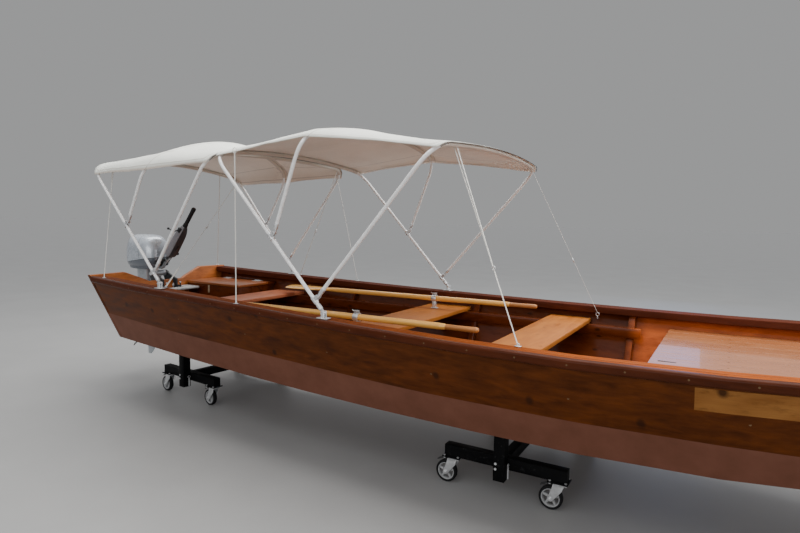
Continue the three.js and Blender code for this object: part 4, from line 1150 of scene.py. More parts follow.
def buildBows(name):
    for part in bowParts:
        bow, body = bowOf(name, part), f"{name}_{part}"
        tubeAlong(f"{body}_tube", bowLine(bow), bowShape["tube"], "tube", body, f"{body}_bow")
        bm = bmesh.new()
        turn = Matrix.Rotation(bow["lean"], 3, "Y")
        for side in (-1, 1):
            addBowFoot(bm, bow, side, turn)
            for lower in ("mid", "front") if part == "main" else ():
                addBowCollar(bm, bow, side, turn, awningSizes[name][lower][0])
        finishPiece(f"{body}_fittings", bm, "fitting", body)


# The cloth's surface between the bows: u is 0, 1 and 2 at the three bows and t runs across the boat.
def clothSurface(name, bows, u, t):
    hemShare = awningSizes[name]["hemPoint"]
    lifted = []
    for bow in bows:
        (y1, s1), (y2, s2) = (clothPoint(bow, max(-1, min(1, t + step)), hemShare) for step in (-0.01, 0.01))
        normal = Vector((0, s1 - s2, y2 - y1)).normalized()
        lifted.append(inRow(bow, *clothPoint(bow, t, hemShare)) + normal * clothShape["inside"])
    first = 0 if u <= 1 else 1
    local = u - first
    slack = 4 * local * (1 - local)
    crease = noise.noise(Vector((u * 2.2 + 3.1, t * 5.0, awningSizes[name]["creaseSeed"])))
    pull = noise.noise(Vector((u * 6.0 + t * 7.0, t * 3.0 - u * 4.0, 8.2)))
    scallop = max(0.0, abs(t) - clothShape["scallopFrom"]) / (1 - clothShape["scallopFrom"])
    up = (clothShape["crease"] * crease + clothShape["pull"] * pull + clothShape["scallopUp"] * scallop
          - clothShape["sag"] * (1 - abs(t) ** 3))
    inward = -math.copysign(clothShape["scallopIn"], t) * scallop
    return lifted[first].lerp(lifted[first + 1], local) + Vector((0, inward, up)) * slack


def buildCanopy(name):
    bows = [bowOf(name, part) for part in bowParts]
    lip, alongSteps = clothShape["lip"], clothShape["alongSteps"]
    columns = alongSteps * 2 + 2
    bm = bmesh.new()
    bmesh.ops.create_grid(bm, x_segments=columns, y_segments=clothShape["acrossSteps"], size=1.0)
    bm.verts.index_update()
    places = [(round((vert.co.x + 1) / 2 * columns), vert.co.y) for vert in bm.verts]
    lips = {0: Vector((-lip, 0, -clothShape["lipDrop"][0])),
            columns: Vector((lip, 0, -clothShape["lipDrop"][1]))}
    for vert, (column, t) in zip(bm.verts, places):
        u = max(0, min(2, (column - 1) / alongSteps))
        vert.co = clothSurface(name, bows, u, t) + lips.get(column, Vector())
    spans = [(clothSurface(name, bows, k, 0) - clothSurface(name, bows, k + 1, 0)).length for k in (0, 1)]
    width = 2 * awningSizes[name]["halfTop"] + clothShape["extraWidth"]

    def lengthTo(column):
        if column <= 0:
            return 0.0
        u = min(2.0, (column - 1) / alongSteps)
        run = lip + spans[0] * min(1, u) + spans[1] * max(0, u - 1)
        return run + (lip if column >= columns else 0.0)

    uvLayer = bm.loops.layers.uv.new("clothUv")
    hemLayer = bm.verts.layers.float.new("hemDistance")
    seamLayer = bm.verts.layers.float.new("seamDistance")
    full, pocket = lengthTo(columns), clothShape["pocket"]
    for vert, (column, t) in zip(bm.verts, places):
        along, across = lengthTo(column), (1 - abs(t)) * width / 2
        vert[hemLayer] = min(across, along, full - along)
        panel = (abs(t) - clothShape["turnAt"]) * width / 2
        fromBow = along - lip - spans[0]
        vert[seamLayer] = min((panel, fromBow - pocket, fromBow + pocket), key=abs)
        for loop in vert.link_loops:
            loop[uvLayer].uv = (along, (t + 1) / 2 * width)
    area = sum(face.calc_area() for face in bm.faces)
    cloth = finishPiece(f"{name}_cloth", bm, "canvas", f"{name}_main", f"{name}_canopy",
                        180, False)
    thick = cloth.modifiers.new("thickness", "SOLIDIFY")
    thick.thickness = clothShape["thickness"]
    thick.offset = 1.0
    return cloth, full, area


def buildSleeves(name):
    hemShare = awningSizes[name]["hemPoint"]

    def acrossBow(bow, reach, steps, lift=0.0):
        ts = [-reach + 2 * reach * i / steps for i in range(steps + 1)]
        return [inRow(bow, *clothPoint(bow, t, hemShare), lift) for t in ts]

    edge = acrossBow(bowOf(name, "front"), clothEdges["pipingTo"], clothEdges["pipingSteps"],
                     clothEdges["pipingLift"])
    edge = [point + Vector(clothEdges["pipingShift"]) for point in edge]
    tubeAlong(f"{name}_piping", edge, clothEdges["piping"], "piping", f"{name}_front",
              resolution=2)
    for part in bowParts:
        line = acrossBow(bowOf(name, part), clothEdges["sleeveTo"], clothEdges["sleeveSteps"])
        tubeAlong(f"{name}_{part}_sleeve", line, clothEdges["sleeve"], "canvas", f"{name}_{part}",
                  resolution=4)


for name in awningSizes:
    buildBows(name)
    cloth, length, area = buildCanopy(name)
    buildSleeves(name)
    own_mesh(cloth)
    for sideName, _ in boatSides:
        easedCopy(f"{name}_hinge_{sideName}", f"{name}_deck_hinge_{sideName}", "fitting",
                  0.0012)
print("awnings done")

# Oars: blade rows are distance from the tip, half width, half thickness and how boxy the section is.
# The slope is set by the clamp, which holds the shaft that much higher than the tip.
oarSizes = {
    "origin": (-2.61, 0.453, 0.7656), "lockAt": 1.29, "lockRise": 0.0166, "roll": 8.0,
    "blade": [(0.001, 0.034, 0.003, 2.2), (0.01, 0.045, 0.0045, 2.4), (0.05, 0.0545, 0.0055, 2.4),
              (0.14, 0.0535, 0.006, 2.3), (0.26, 0.047, 0.0066, 2.2), (0.35, 0.0345, 0.01, 2.1),
              (0.42, 0.022, 0.014, 2.0), (0.48, 0.0171, 0.0168, 2.0)],
    "shaft": [(0.7, 0.017, 0.017, 2.0), (1.25, 0.017, 0.017, 2.0), (1.78, 0.0168, 0.0168, 2.0),
              (1.812, 0.015, 0.015, 2.0), (1.816, 0.0128, 0.0128, 2.0)],
    "gripAt": 1.8145,
    "grip": [(0.0, 0.0), (0.0, 0.0128), (0.006, 0.0136), (0.06, 0.0131), (0.12, 0.0136), (0.16, 0.0142),
             (0.17, 0.012), (0.1745, 0.006), (0.175, 0.0)],
}
oarLock = {
    "collar": [(-0.016, 0.0182), (-0.016, 0.0232), (-0.014, 0.024), (0.014, 0.024), (0.016, 0.0232),
               (0.016, 0.0182)],
    "seat": 0.7168, "post": (0.013, 0.011), "postTop": -0.0195, "foot": (0.024, 0.017), "footHigh": 0.003,
    "screws": 0.018, "screwZ": (0.0027, 0.0052), "screwRadius": 0.0038,
    "ear": (0.016, 0.0015, 0.007), "earYs": (-0.0045, 0.0015), "earZ": 0.0295,
    "boltZ": 0.03, "boltFrom": -0.018, "boltTo": 0.012, "boltRadius": 0.0032, "headTo": -0.0065,
    "headRadius": (0.0062, 0.0048), "wing": (0.0022, 0.0025, 0.0085), "wingAt": (0.012, -0.017, 0.0365),
    "wingLean": 62.0,
}


def buildOar(name, place, roll):
    bm = bmesh.new()
    rows = smoothRows(oarSizes["blade"], 4) + oarSizes["shaft"]
    extrudeThrough(bm, [[roll @ Vector((along, a, b)) for a, b in softOutline(wide, thick, power, 24)]
                        for along, wide, thick, power in rows])
    moveAll(bm, place)
    finishPiece(f"oar_loom_{name}", bm, "oarWood", "boat", f"oar_{name}", sharpAngle=40)
    bm = bmesh.new()
    addTurned(bm, (oarSizes["gripAt"], 0, 0), (2, 0, 0), oarSizes["grip"], 24)
    moveAll(bm, place)
    finishPiece(f"oar_grip_{name}", bm, "gripWood", "boat", sharpAngle=50)


# The clamp is made round the oar's centre line: collar, post and foot, then the wing bolt through two ears.
def buildOarLock(name, place, seat):
    bm = bmesh.new()
    addTurned(bm, (0, 0, 0), (1, 0, 0), oarLock["collar"], 32, closed=True)
    (postX, postY), (footX, footY) = oarLock["post"], oarLock["foot"]
    addBlock(bm, (-postX, -postY, seat), (postX, postY, oarLock["postTop"]), 0.002, 2)
    addBlock(bm, (-footX, -footY, seat), (footX, footY, seat + oarLock["footHigh"]), 0.001)
    low, high = (seat + z for z in oarLock["screwZ"])
    for x in (-oarLock["screws"], oarLock["screws"]):
        addRod(bm, (x, 0, low), (x, 0, high), oarLock["screwRadius"], 6)
    for y in oarLock["earYs"]:
        addBlockAt(bm, (0, y, oarLock["earZ"]), oarLock["ear"], 0.0012)
    start, z = oarLock["boltFrom"], oarLock["boltZ"]
    addRod(bm, (0, start, z), (0, oarLock["boltTo"], z), oarLock["boltRadius"], 12)
    thick, thin = oarLock["headRadius"]
    addRod(bm, (0, start, z), (0, oarLock["headTo"], z), thick, 12, thin)
    wingX, wingY, wingZ = oarLock["wingAt"]
    for lean in (-1, 1):
        turn = Matrix.Rotation(radians(lean * oarLock["wingLean"]), 3, "Y")
        addBlockAt(bm, (lean * wingX, wingY, wingZ), oarLock["wing"], 0.0015, 1, turn)
    moveAll(bm, place)
    finishPiece(f"oar_lock_{name}", bm, "fitting", "boat", f"oar_clamp_{name}")


def buildOars():
    at, rise = oarSizes["lockAt"], oarSizes["lockRise"]
    slope = Matrix.Rotation(-math.atan2(rise, at), 4, "Y")
    for name, side in boatSides:
        x, y, z = oarSizes["origin"]
        roll = Matrix.Rotation(radians(side * oarSizes["roll"]), 3, "X")
        buildOar(name, Matrix.Translation((x, side * y, z)) @ slope, roll)
        buildOarLock(name, Matrix.Translation((x + at, side * y, z + rise)), oarLock["seat"] - z - rise)


buildOars()
print("oars done")

# Outboard motor. Heights and places are from the steering axis at the tilt tube's height. The rows of a
# lofted piece are height, centre, half length, half width and how boxy the section is.
motorSizes = {
    "head": (-3.642, 0.0, 0.838),
    "cowl": [(0.0585, -0.06, 0.166, 0.116, 2.7), (0.075, -0.0595, 0.173, 0.124, 2.7),
             (0.1, -0.059, 0.1765, 0.1285, 2.7), (0.15, -0.06, 0.1765, 0.129, 2.7),
             (0.195, -0.061, 0.1745, 0.127, 2.6), (0.235, -0.064, 0.168, 0.121, 2.5),
             (0.262, -0.068, 0.158, 0.112, 2.4), (0.284, -0.072, 0.143, 0.099, 2.3),
             (0.298, -0.077, 0.118, 0.08, 2.2), (0.306, -0.081, 0.078, 0.053, 2.1),
             (0.3088, -0.083, 0.03, 0.02, 2.0)],
    "pan": [(0.0335, -0.068, 0.14, 0.096, 2.6), (0.038, -0.068, 0.147, 0.103, 2.6),
            (0.0575, -0.068, 0.152, 0.108, 2.6)],
    "leg": [(0.036, -0.106, 0.074, 0.046, 2.2), (-0.06, -0.106, 0.072, 0.043, 2.2),
            (-0.2, -0.106, 0.073, 0.044, 2.2), (-0.3, -0.106, 0.074, 0.045, 2.2),
            (-0.38, -0.092, 0.08, 0.036, 2.1), (-0.4385, -0.08, 0.084, 0.03, 2.0)],
    "plate": [(-0.446, -0.08, 0.118, 0.072, 2.3), (-0.4445, -0.08, 0.12, 0.0735, 2.3),
              (-0.4395, -0.08, 0.12, 0.0735, 2.3), (-0.438, -0.08, 0.118, 0.072, 2.3)],
    "strut": [(-0.4455, -0.06, 0.084, 0.018, 2.0), (-0.5, -0.054, 0.074, 0.0165, 2.0),
              (-0.545, -0.05, 0.066, 0.018, 2.0)],
    "skeg": [(-0.59, -0.034, 0.056, 0.004, 2.0), (-0.63, -0.042, 0.04, 0.0034, 2.0),
             (-0.66, -0.055, 0.026, 0.0026, 2.0), (-0.671, -0.061, 0.02, 0.0014, 2.0)],
    "shaftZ": -0.56, "gearcaseFront": 0.06,
    "gearcase": [(0.0, 0.0), (0.002, 0.006), (0.008, 0.016), (0.02, 0.025), (0.04, 0.0315),
                 (0.066, 0.035), (0.12, 0.035), (0.165, 0.0335), (0.19, 0.028), (0.1975, 0.0245),
                 (0.1975, 0.0)],
    "fin": ((-0.13, -0.009, -0.532), (-0.06, 0.009, -0.445)),
    "intakes": {"place": (-0.03, 0.015), "zs": (-0.47, -0.485, -0.5), "half": (0.022, 0.003, 0.0028)},
}
steeringSizes = {
    "arm": [(-0.01, 0.036), (0.11, 0.036), (0.172, 0.098), (0.19, 0.112), (0.208, 0.118), (0.21, 0.138),
            (0.192, 0.148), (0.172, 0.138), (0.116, 0.057), (-0.01, 0.057)],
    "armHalf": 0.009, "armEased": 0.0025, "yokeZ": 0.036,
    "yoke": [(0.0, 0.0), (0.0, 0.024), (0.003, 0.027), (0.02, 0.027), (0.0235, 0.022), (0.0235, 0.0)],
    "bootFrom": (0.09, 0.03, 0.088), "bootTo": (0.168, 0.021, 0.112), "bootRibs": (0.0098, 0.0125),
    "ribCount": 14, "block": ((0.098, -0.045, 0.062), (0.128, 0.045, 0.098)),
    "lever": [((0.112, -0.046, 0.08), (0.112, -0.075, 0.084), 0.0045, 0.0045),
              ((0.112, -0.07, 0.084), (0.148, -0.084, 0.104), 0.0042, 0.0034)],
    "knobFrom": (0.144, -0.0825, 0.102), "knobTo": (0.16, -0.089, 0.111),
    "knob": [(0.0, 0.0), (0.001, 0.006), (0.006, 0.0095), (0.012, 0.0095), (0.017, 0.006), (0.018, 0.0)],
}


def finishMotorPiece(name, bm, material, replaced=None, sharpAngle=32.0):
    moveAll(bm, Matrix.Translation(motorSizes["head"]))
    finishPiece(name, bm, material, "motor_head", replaced, sharpAngle)


def loftMotorPiece(name, rows, material, replaced=None, steps=1, count=32, sharpAngle=32.0):
    bm = bmesh.new()
    rows = smoothRows(rows, steps) if steps > 1 else rows
    extrudeThrough(bm, [[(center + a, b, height) for a, b in softOutline(half, wide, power, count)]
                        for height, center, half, wide, power in rows])
    finishMotorPiece(name, bm, material, replaced, sharpAngle)


def buildGearcase():
    bm = bmesh.new()
    z = motorSizes["shaftZ"]
    addTurned(bm, (motorSizes["gearcaseFront"], 0, z), (0, 0, z), motorSizes["gearcase"], 36)
    x, y = motorSizes["intakes"]["place"]
    for z in motorSizes["intakes"]["zs"]:
        for side in (-1, 1):
            addBlockAt(bm, (x, side * y, z), motorSizes["intakes"]["half"], 0.001)
    addBlock(bm, *motorSizes["fin"], 0.005, 2)
    finishMotorPiece("leg_gearcase", bm, "legPaint", sharpAngle=40)


def buildSteering():
    bm = bmesh.new()
    half = steeringSizes["armHalf"]
    extrudeThrough(bm, [[(x, y, z) for x, z in steeringSizes["arm"]] for y in (-half, half)])
    bmesh.ops.recalc_face_normals(bm, faces=bm.faces[:])
    easeEdges(bm, steepEdges(bm), steeringSizes["armEased"])
    addTurned(bm, (0, 0, steeringSizes["yokeZ"]), (0, 0, 1), steeringSizes["yoke"], 28)
    finishMotorPiece("steering_arm", bm, "legPaint")
    bm = bmesh.new()
    for side in (-1, 1):
        mirrored = Vector((1, side, 1))
        start, end = Vector(steeringSizes["bootFrom"]) * mirrored, Vector(steeringSizes["bootTo"]) * mirrored
        length, count = (end - start).length, steeringSizes["ribCount"]
        ribs = [(length * k / count, steeringSizes["bootRibs"][k % 2]) for k in range(count + 1)]
        addTurned(bm, start, end, [(0.0, 0.0), *ribs, (length, 0.0)], 20)
    addBlock(bm, *steeringSizes["block"], 0.006, 2)
    finishMotorPiece("steering_boots", bm, "gripRubber", sharpAngle=60)
    bm = bmesh.new()
    for start, end, thick, thin in steeringSizes["lever"]:
        addRod(bm, start, end, thick, 12, thin)
    addTurned(bm, steeringSizes["knobFrom"], steeringSizes["knobTo"], steeringSizes["knob"], 20)
    finishMotorPiece("friction_lever", bm, "castingBlack", sharpAngle=50)


# Screws, nuts and bolts of the clamp. The transom leans back by its slope for each metre of height.
clampSizes = {
    "slope": 0.218, "screwY": 0.062, "screwZ": 0.745, "screwZs": (0.716, 0.774), "endOut": 0.072,
    "ends": [(0.0, 0.0), (0.001, 0.005), (0.006, 0.0075), (0.011, 0.005), (0.012, 0.0)], "endDrop": 0.006,
    "pads": [(0.0, 0.0), (0.0, 0.021), (0.003, 0.022), (0.006, 0.018), (0.009, 0.008), (0.01, 0.0)],
    "padOut": 0.0005, "tube": (-3.57, 0.0605, 0.838),
    "tubeNuts": [(0.01, 0.0), (0.01, 0.015), (0.012, 0.016), (0.017, 0.016), (0.019, 0.014), (0.019, 0.0)],
    "boltZ": 0.64, "boltEvery": 0.034, "bolts": 4, "boltOut": -0.0585, "boltY": (0.0695, 0.0725),
    "boltRadius": 0.006,
}


def transomAt(z):
    _, xFoot, _, _, _, keel = hullLines[0]
    return xFoot - clampSizes["slope"] * (z - keel)


def buildClampDetails():
    bm = bmesh.new()
    face = transomAt(clampSizes["screwZ"])
    for side in (-1, 1):
        y, x = side * clampSizes["screwY"], face + clampSizes["endOut"]
        for z in clampSizes["screwZs"]:
            addTurned(bm, (x, y, z - clampSizes["endDrop"]), (x, y, z + 1), clampSizes["ends"], 16)
        z = clampSizes["screwZ"]
        addTurned(bm, (face + clampSizes["padOut"], y, z), (face + 1, y, z), clampSizes["pads"], 24)
        x, y, z = clampSizes["tube"]
        addTurned(bm, (x, side * y, z), (x, side, z), clampSizes["tubeNuts"], 6)
    finishPiece("clamp_screws", bm, "fitting", "boat")
    bm = bmesh.new()
    for side in (-1, 1):
        for k in range(clampSizes["bolts"]):
            z = clampSizes["boltZ"] + clampSizes["boltEvery"] * k
            x = transomAt(z) + clampSizes["boltOut"]
            near, far = (side * y for y in clampSizes["boltY"])
            addRod(bm, (x, near, z), (x, far, z), clampSizes["boltRadius"], 14, bevel=0.0008)
    finishPiece("clamp_bolts", bm, "fitting", "boat")


# Blade rows are distance from the axis, half chord, half thickness and pitch in degrees.
propellerSizes = {
    "place": (-0.168, 0, -0.56), "front": 0.03, "blades": 3,
    "hub": [(0.0, 0.0), (0.0, 0.023), (0.002, 0.024), (0.04, 0.0232), (0.048, 0.019), (0.052, 0.0125),
            (0.058, 0.011), (0.058, 0.0)],
    "blade": [(0.0215, 0.019, 0.0034, 66.0), (0.034, 0.0265, 0.003, 60.0), (0.05, 0.031, 0.0025, 54.0),
              (0.066, 0.03, 0.002, 49.0), (0.078, 0.022, 0.0014, 46.0), (0.0835, 0.011, 0.0008, 45.0)],
}


def buildPropeller():
    bm = bmesh.new()
    addTurned(bm, (propellerSizes["front"], 0, 0), (-1, 0, 0), propellerSizes["hub"], 36)
    for k in range(propellerSizes["blades"]):
        turn = Matrix.Rotation(2 * math.pi * k / propellerSizes["blades"], 3, "X")
        rings = []
        for out, chord, thick, pitch in smoothRows(propellerSizes["blade"], 4):
            twist = Matrix.Rotation(radians(-pitch), 3, "Z")
            rings.append([turn @ (twist @ Vector((b, a, 0)) + Vector((0, 0, out)))
                          for a, b in softOutline(chord, thick, 2.0, 20)])
        extrudeThrough(bm, rings)
    moveAll(bm, Matrix.Translation(Vector(motorSizes["head"]) + Vector(propellerSizes["place"])))
    finishPiece("propeller_blades", bm, "castingBlack", "propeller", "propeller",
                sharpAngle=40)


# The tiller is made along X from its pivot and then raised by its lean. Rods are start, end and two radii.
tillerSizes = {
    "pivot": (-3.448, 0.0, 0.968), "lean": 52.0,
    "casing": [(0.02, 0.027, 0.0225, 5.0), (0.03, 0.0345, 0.029, 5.0), (0.064, 0.0395, 0.035, 5.0),
               (0.15, 0.0385, 0.034, 5.0), (0.236, 0.0355, 0.0315, 5.0), (0.285, 0.0275, 0.026, 4.0),
               (0.314, 0.019, 0.0188, 3.0), (0.3178, 0.0178, 0.0178, 2.6)],
    "lug": (0.0155, 0.01465, 0.0), "lugHalf": (0.0295, 0.00485, 0.0125), "pin": 0.019, "pinRadius": 0.0058,
    "nutTo": 0.0225, "nutRadius": 0.0085,
    "gripAt": 0.3183, "gripStart": [(0.0, 0.0), (0.0, 0.0175), (0.002, 0.018), (0.02, 0.0178),
                                    (0.026, 0.015)],
    "gripEnd": [(0.15, 0.016), (0.16, 0.0172), (0.17, 0.0165), (0.1755, 0.012), (0.176, 0.0)],
    "gripRibs": (0.0142, 0.0157), "ribAt": 0.03, "ribEvery": 0.0035, "ribCount": 30,
    "box": ((0.262, -0.04, -0.012), (0.298, -0.0245, 0.016)),
    "plate": ((0.1, -0.01, -0.0362), (0.15, 0.01, -0.033)),
    "levers": [((0.284, -0.034, 0.006), (0.25, -0.056, 0.02), 0.0046, 0.0042),
               ((0.251, -0.055, 0.018), (0.252, -0.084, 0.054), 0.0042, 0.0038),
               ((0.052, 0.03, -0.008), (0.052, 0.05, -0.016), 0.0042, 0.0042)],
    "smallKnobAt": ((0.252, -0.08, 0.049), (0.2523, -0.09, 0.0615)),
    "smallKnob": [(0.0, 0.0), (0.001, 0.0058), (0.005, 0.0095), (0.011, 0.0095), (0.016, 0.0055),
                  (0.017, 0.0)],
    "largeKnobAt": ((0.052, 0.043, -0.0147), (0.052, 0.073, -0.028)),
    "largeKnob": [(0.0, 0.0), (0.001, 0.007), (0.004, 0.0115), (0.01, 0.0115), (0.014, 0.007),
                  (0.015, 0.0)],
}


def buildTiller():
    place = Matrix.Translation(tillerSizes["pivot"]) @ Matrix.Rotation(radians(-tillerSizes["lean"]), 4, "Y")
    bm = bmesh.new()
    extrudeThrough(bm, [[(along, a, b) for a, b in softOutline(wide, high, power, 32)]
                        for along, wide, high, power in smoothRows(tillerSizes["casing"], 3)])
    bmesh.ops.recalc_face_normals(bm, faces=bm.faces[:])
    # Faces that look to either side get the grey, painted light on the casing's lit faces; the rest is its
    # black plastic.
    for face in bm.faces:
        face.material_index = 1 if abs(face.normal.y) > 0.75 else 0
    pin = tillerSizes["pin"]
    x, y, z = tillerSizes["lug"]
    for side in (-1, 1):
        addBlockAt(bm, (x, side * y, z), tillerSizes["lugHalf"], 0.004, 2)
        addRod(bm, (0, side * pin, 0), (0, side * tillerSizes["nutTo"], 0), tillerSizes["nutRadius"], 6)
    addRod(bm, (0, -pin, 0), (0, pin, 0), tillerSizes["pinRadius"], 16)
    moveAll(bm, place)
    finishPiece("tiller_casing", bm, ["tillerBlack", "tillerLitGrey"], "tiller", "tiller_arm",
                sharpAngle=36)
    bm = bmesh.new()
    ribs = [(tillerSizes["ribAt"] + tillerSizes["ribEvery"] * k, tillerSizes["gripRibs"][k % 2])
            for k in range(tillerSizes["ribCount"])]
    profile = [*tillerSizes["gripStart"], *ribs, *tillerSizes["gripEnd"]]
    addTurned(bm, (tillerSizes["gripAt"], 0, 0), (1, 0, 0), profile)
    moveAll(bm, place)
    finishPiece("tiller_twist_grip", bm, "gripRubber", "tiller", "tiller_grip",
                sharpAngle=60)
    bm = bmesh.new()
    addBlock(bm, *tillerSizes["box"], 0.003, 2)
    addBlock(bm, *tillerSizes["plate"], 0.001)
    for start, end, thick, thin in tillerSizes["levers"]:
        addRod(bm, start, end, thick, 14, thin)
    addTurned(bm, *tillerSizes["smallKnobAt"], tillerSizes["smallKnob"], 20)
    addTurned(bm, *tillerSizes["largeKnobAt"], tillerSizes["largeKnob"], 20)
    moveAll(bm, place)
    finishPiece("tiller_levers", bm, "castingBlack", "tiller", sharpAngle=50)


def buildMotor():
    loftMotorPiece("cowl_shell", motorSizes["cowl"], "cowlSilver", "motor_cowl", 4, 48, 60)
    loftMotorPiece("cowl_pan", motorSizes["pan"], "cowlGrey", count=48)
    loftMotorPiece("leg_column", motorSizes["leg"], "legPaint", "motor_leg", 4)
    loftMotorPiece("leg_plate", motorSizes["plate"], "legPaint")
    loftMotorPiece("leg_strut", motorSizes["strut"], "legPaint", steps=3)
    loftMotorPiece("leg_skeg", motorSizes["skeg"], "legPaint", steps=3, count=20)
    buildGearcase()
    buildSteering()
    buildClampDetails()
    buildPropeller()
    buildTiller()


buildMotor()
print("motor done")

# Dollies: centre, turn and distance between the side beams. Casters trail towards the stern.
dollySizes = {
    "aft": {"place": (-2.863, 0.081), "turn": -5.6, "track": 0.66},
    "fore": {"place": (-0.495, -0.027), "turn": 0.8, "track": 0.76},
    "reach": 0.262, "postWidth": 0.054, "beamWidth": 0.05, "overlap": 0.001,
}
dollyBolts = {
    "plate": (0.036, 0.0305), "heads": (0.13, 0.1365, 0.0052), "nuts": (0.143, 0.1475, 0.0058),
    "pinGap": 0.0055, "pinInset": 0.012, "pinZ": (0.106, 0.162), "pinRadius": 0.0042,
    "ringZ": 0.17, "ringRadius": 0.0085, "ringWire": 0.0016,
    "postX": -0.015, "postZs": (0.158, 0.183), "postY": (0.0265, 0.031), "postRadius": 0.0065,
}
casterSizes = {
    "trail": 0.035, "axle": 0.055,
    "spokes": 5, "spoke": ((-0.0055, -0.0085, 0.012), (0.0055, 0.0085, 0.0378)),
    "tyre": [(-0.013, 0.0432), (-0.015, 0.0465), (-0.0148, 0.0505), (-0.012, 0.0537), (-0.006, 0.0549),
             (0.006, 0.0549), (0.012, 0.0537), (0.0148, 0.0505), (0.015, 0.0465), (0.013, 0.0432)],
    "rim": [(-0.0122, 0.0434), (-0.0125, 0.0395), (-0.009, 0.037), (0.009, 0.037), (0.0125, 0.0395),
            (0.0122, 0.0434)],
    "hub": [(-0.0145, 0.0066), (-0.0145, 0.0115), (-0.0125, 0.0135), (0.0125, 0.0135), (0.0145, 0.0115),
            (0.0145, 0.0066)],
    "axleNut": (0.0218, 0.0272, 0.0078, 6), "axleEnd": (0.027, 0.03, 0.0042, 14), "raceZ": 0.12,
    "race": [(0.0, 0.0), (0.0, 0.0265), (0.002, 0.029), (0.006, 0.0295), (0.009, 0.031), (0.013, 0.031),
             (0.015, 0.0285), (0.0155, 0.0)],
    "pedal": ((-0.086, -0.0125, 0.1125), (-0.046, 0.0125, 0.1165)), "pedalLean": -24.0,
    "pedalRoot": ((-0.052, -0.015, 0.117), (-0.022, 0.015, 0.1215)),
}


def buildWheel(dolly, number, place):
    label = f"{dolly}_wheel_{number}"
    across = (0, 0, 0), (0, 1, 0)
    bm = bmesh.new()
    addTurned(bm, *across, casterSizes["tyre"], 40, closed=True)
    moveAll(bm, place)
    finishPiece(f"{dolly}_tyre_{number}", bm, "tyre", label, label, sharpAngle=50)
    bm = bmesh.new()
    addTurned(bm, *across, casterSizes["rim"], 40, closed=True)
    addTurned(bm, *across, casterSizes["hub"], 24, closed=True)
    for k in range(casterSizes["spokes"]):
        before = set(bm.verts)
        addBlock(bm, *casterSizes["spoke"], 0.0018)
        made = [vert for vert in bm.verts if vert not in before]
        turn = Matrix.Rotation(2 * math.pi * k / casterSizes["spokes"], 3, "Y")
        bmesh.ops.rotate(bm, cent=(0, 0, 0), matrix=turn, verts=made)
    moveAll(bm, place)
    finishPiece(f"{dolly}_rim_{number}", bm, "rim", label, sharpAngle=50)


def buildCaster(dolly, number, place):
    axle = Vector((-casterSizes["trail"], 0, casterSizes["axle"]))
    buildWheel(dolly, number, place @ Matrix.Translation(axle))
    fork = f"{dolly}_fork_{number}"
    easedCopy(fork, f"{dolly}_caster_fork_{number}", "fitting", 0.0008)
    bm = bmesh.new()
    for side in (-1, 1):
        for near, far, radius, sides in (casterSizes["axleNut"], casterSizes["axleEnd"]):
            way = Vector((0, side, 0))
            addRod(bm, axle + way * near, axle + way * far, radius, sides)
    addTurned(bm, (0, 0, casterSizes["raceZ"]), (0, 0, 1), casterSizes["race"])
    moveAll(bm, place)
    finishPiece(f"{dolly}_caster_bolts_{number}", bm, "fitting", fork, sharpAngle=40)
    bm = bmesh.new()
    addBlock(bm, *casterSizes["pedal"], 0.0015, 1, Matrix.Rotation(radians(casterSizes["pedalLean"]), 3, "Y"))
    addBlock(bm, *casterSizes["pedalRoot"], 0.0015)
    moveAll(bm, place)
    finishPiece(f"{dolly}_brake_{number}", bm, "castingBlack", fork)


# Bolts through one caster's plate, and the pin and bolts of one post.
def addPlateBolts(bm, x, y):
    outX, outY = dollyBolts["plate"]
    for dx in (-outX, outX):
        for dy in (-outY, outY):
            for low, high, radius in (dollyBolts["heads"], dollyBolts["nuts"]):
                addRod(bm, (x + dx, y + dy, low), (x + dx, y + dy, high), radius, 6)


def addPostBolts(bm, side, half):
    postY = half + dollySizes["beamWidth"] / 2 + dollySizes["postWidth"] / 2 - dollySizes["overlap"]
    x, y = dollySizes["postWidth"] / 2 + dollyBolts["pinGap"], side * (postY - dollyBolts["pinInset"])
    low, high = dollyBolts["pinZ"]
    addRod(bm, (x, y, low), (x, y, high), dollyBolts["pinRadius"], 14)
    addRing(bm, (x, y, dollyBolts["ringZ"]), (1, 0, 0), dollyBolts["ringRadius"], dollyBolts["ringWire"])
    x, (near, far) = dollyBolts["postX"], dollyBolts["postY"]
    for z in dollyBolts["postZs"]:
        addRod(bm, (x, side * (postY + near), z), (x, side * (postY + far), z), dollyBolts["postRadius"], 6)


def buildDolly(dolly):
    sizes, reach = dollySizes[dolly], dollySizes["reach"]
    base = Matrix.Translation((*sizes["place"], 0)) @ Matrix.Rotation(radians(sizes["turn"]), 4, "Z")
    half = sizes["track"] / 2
    bm = bmesh.new()
    corners = [(x, y) for y in (-half, half) for x in (-reach, reach)]
    for number, (x, y) in enumerate(corners, 1):
        buildCaster(dolly, number, base @ Matrix.Translation((x, y, 0)))
        addPlateBolts(bm, x, y)
    for side in (-1, 1):
        addPostBolts(bm, side, half)
    moveAll(bm, base)
    finishPiece(f"{dolly}_dolly_bolts", bm, "fitting", "boat", sharpAngle=40)


buildDolly("aft")
buildDolly("fore")
print("dollies done")

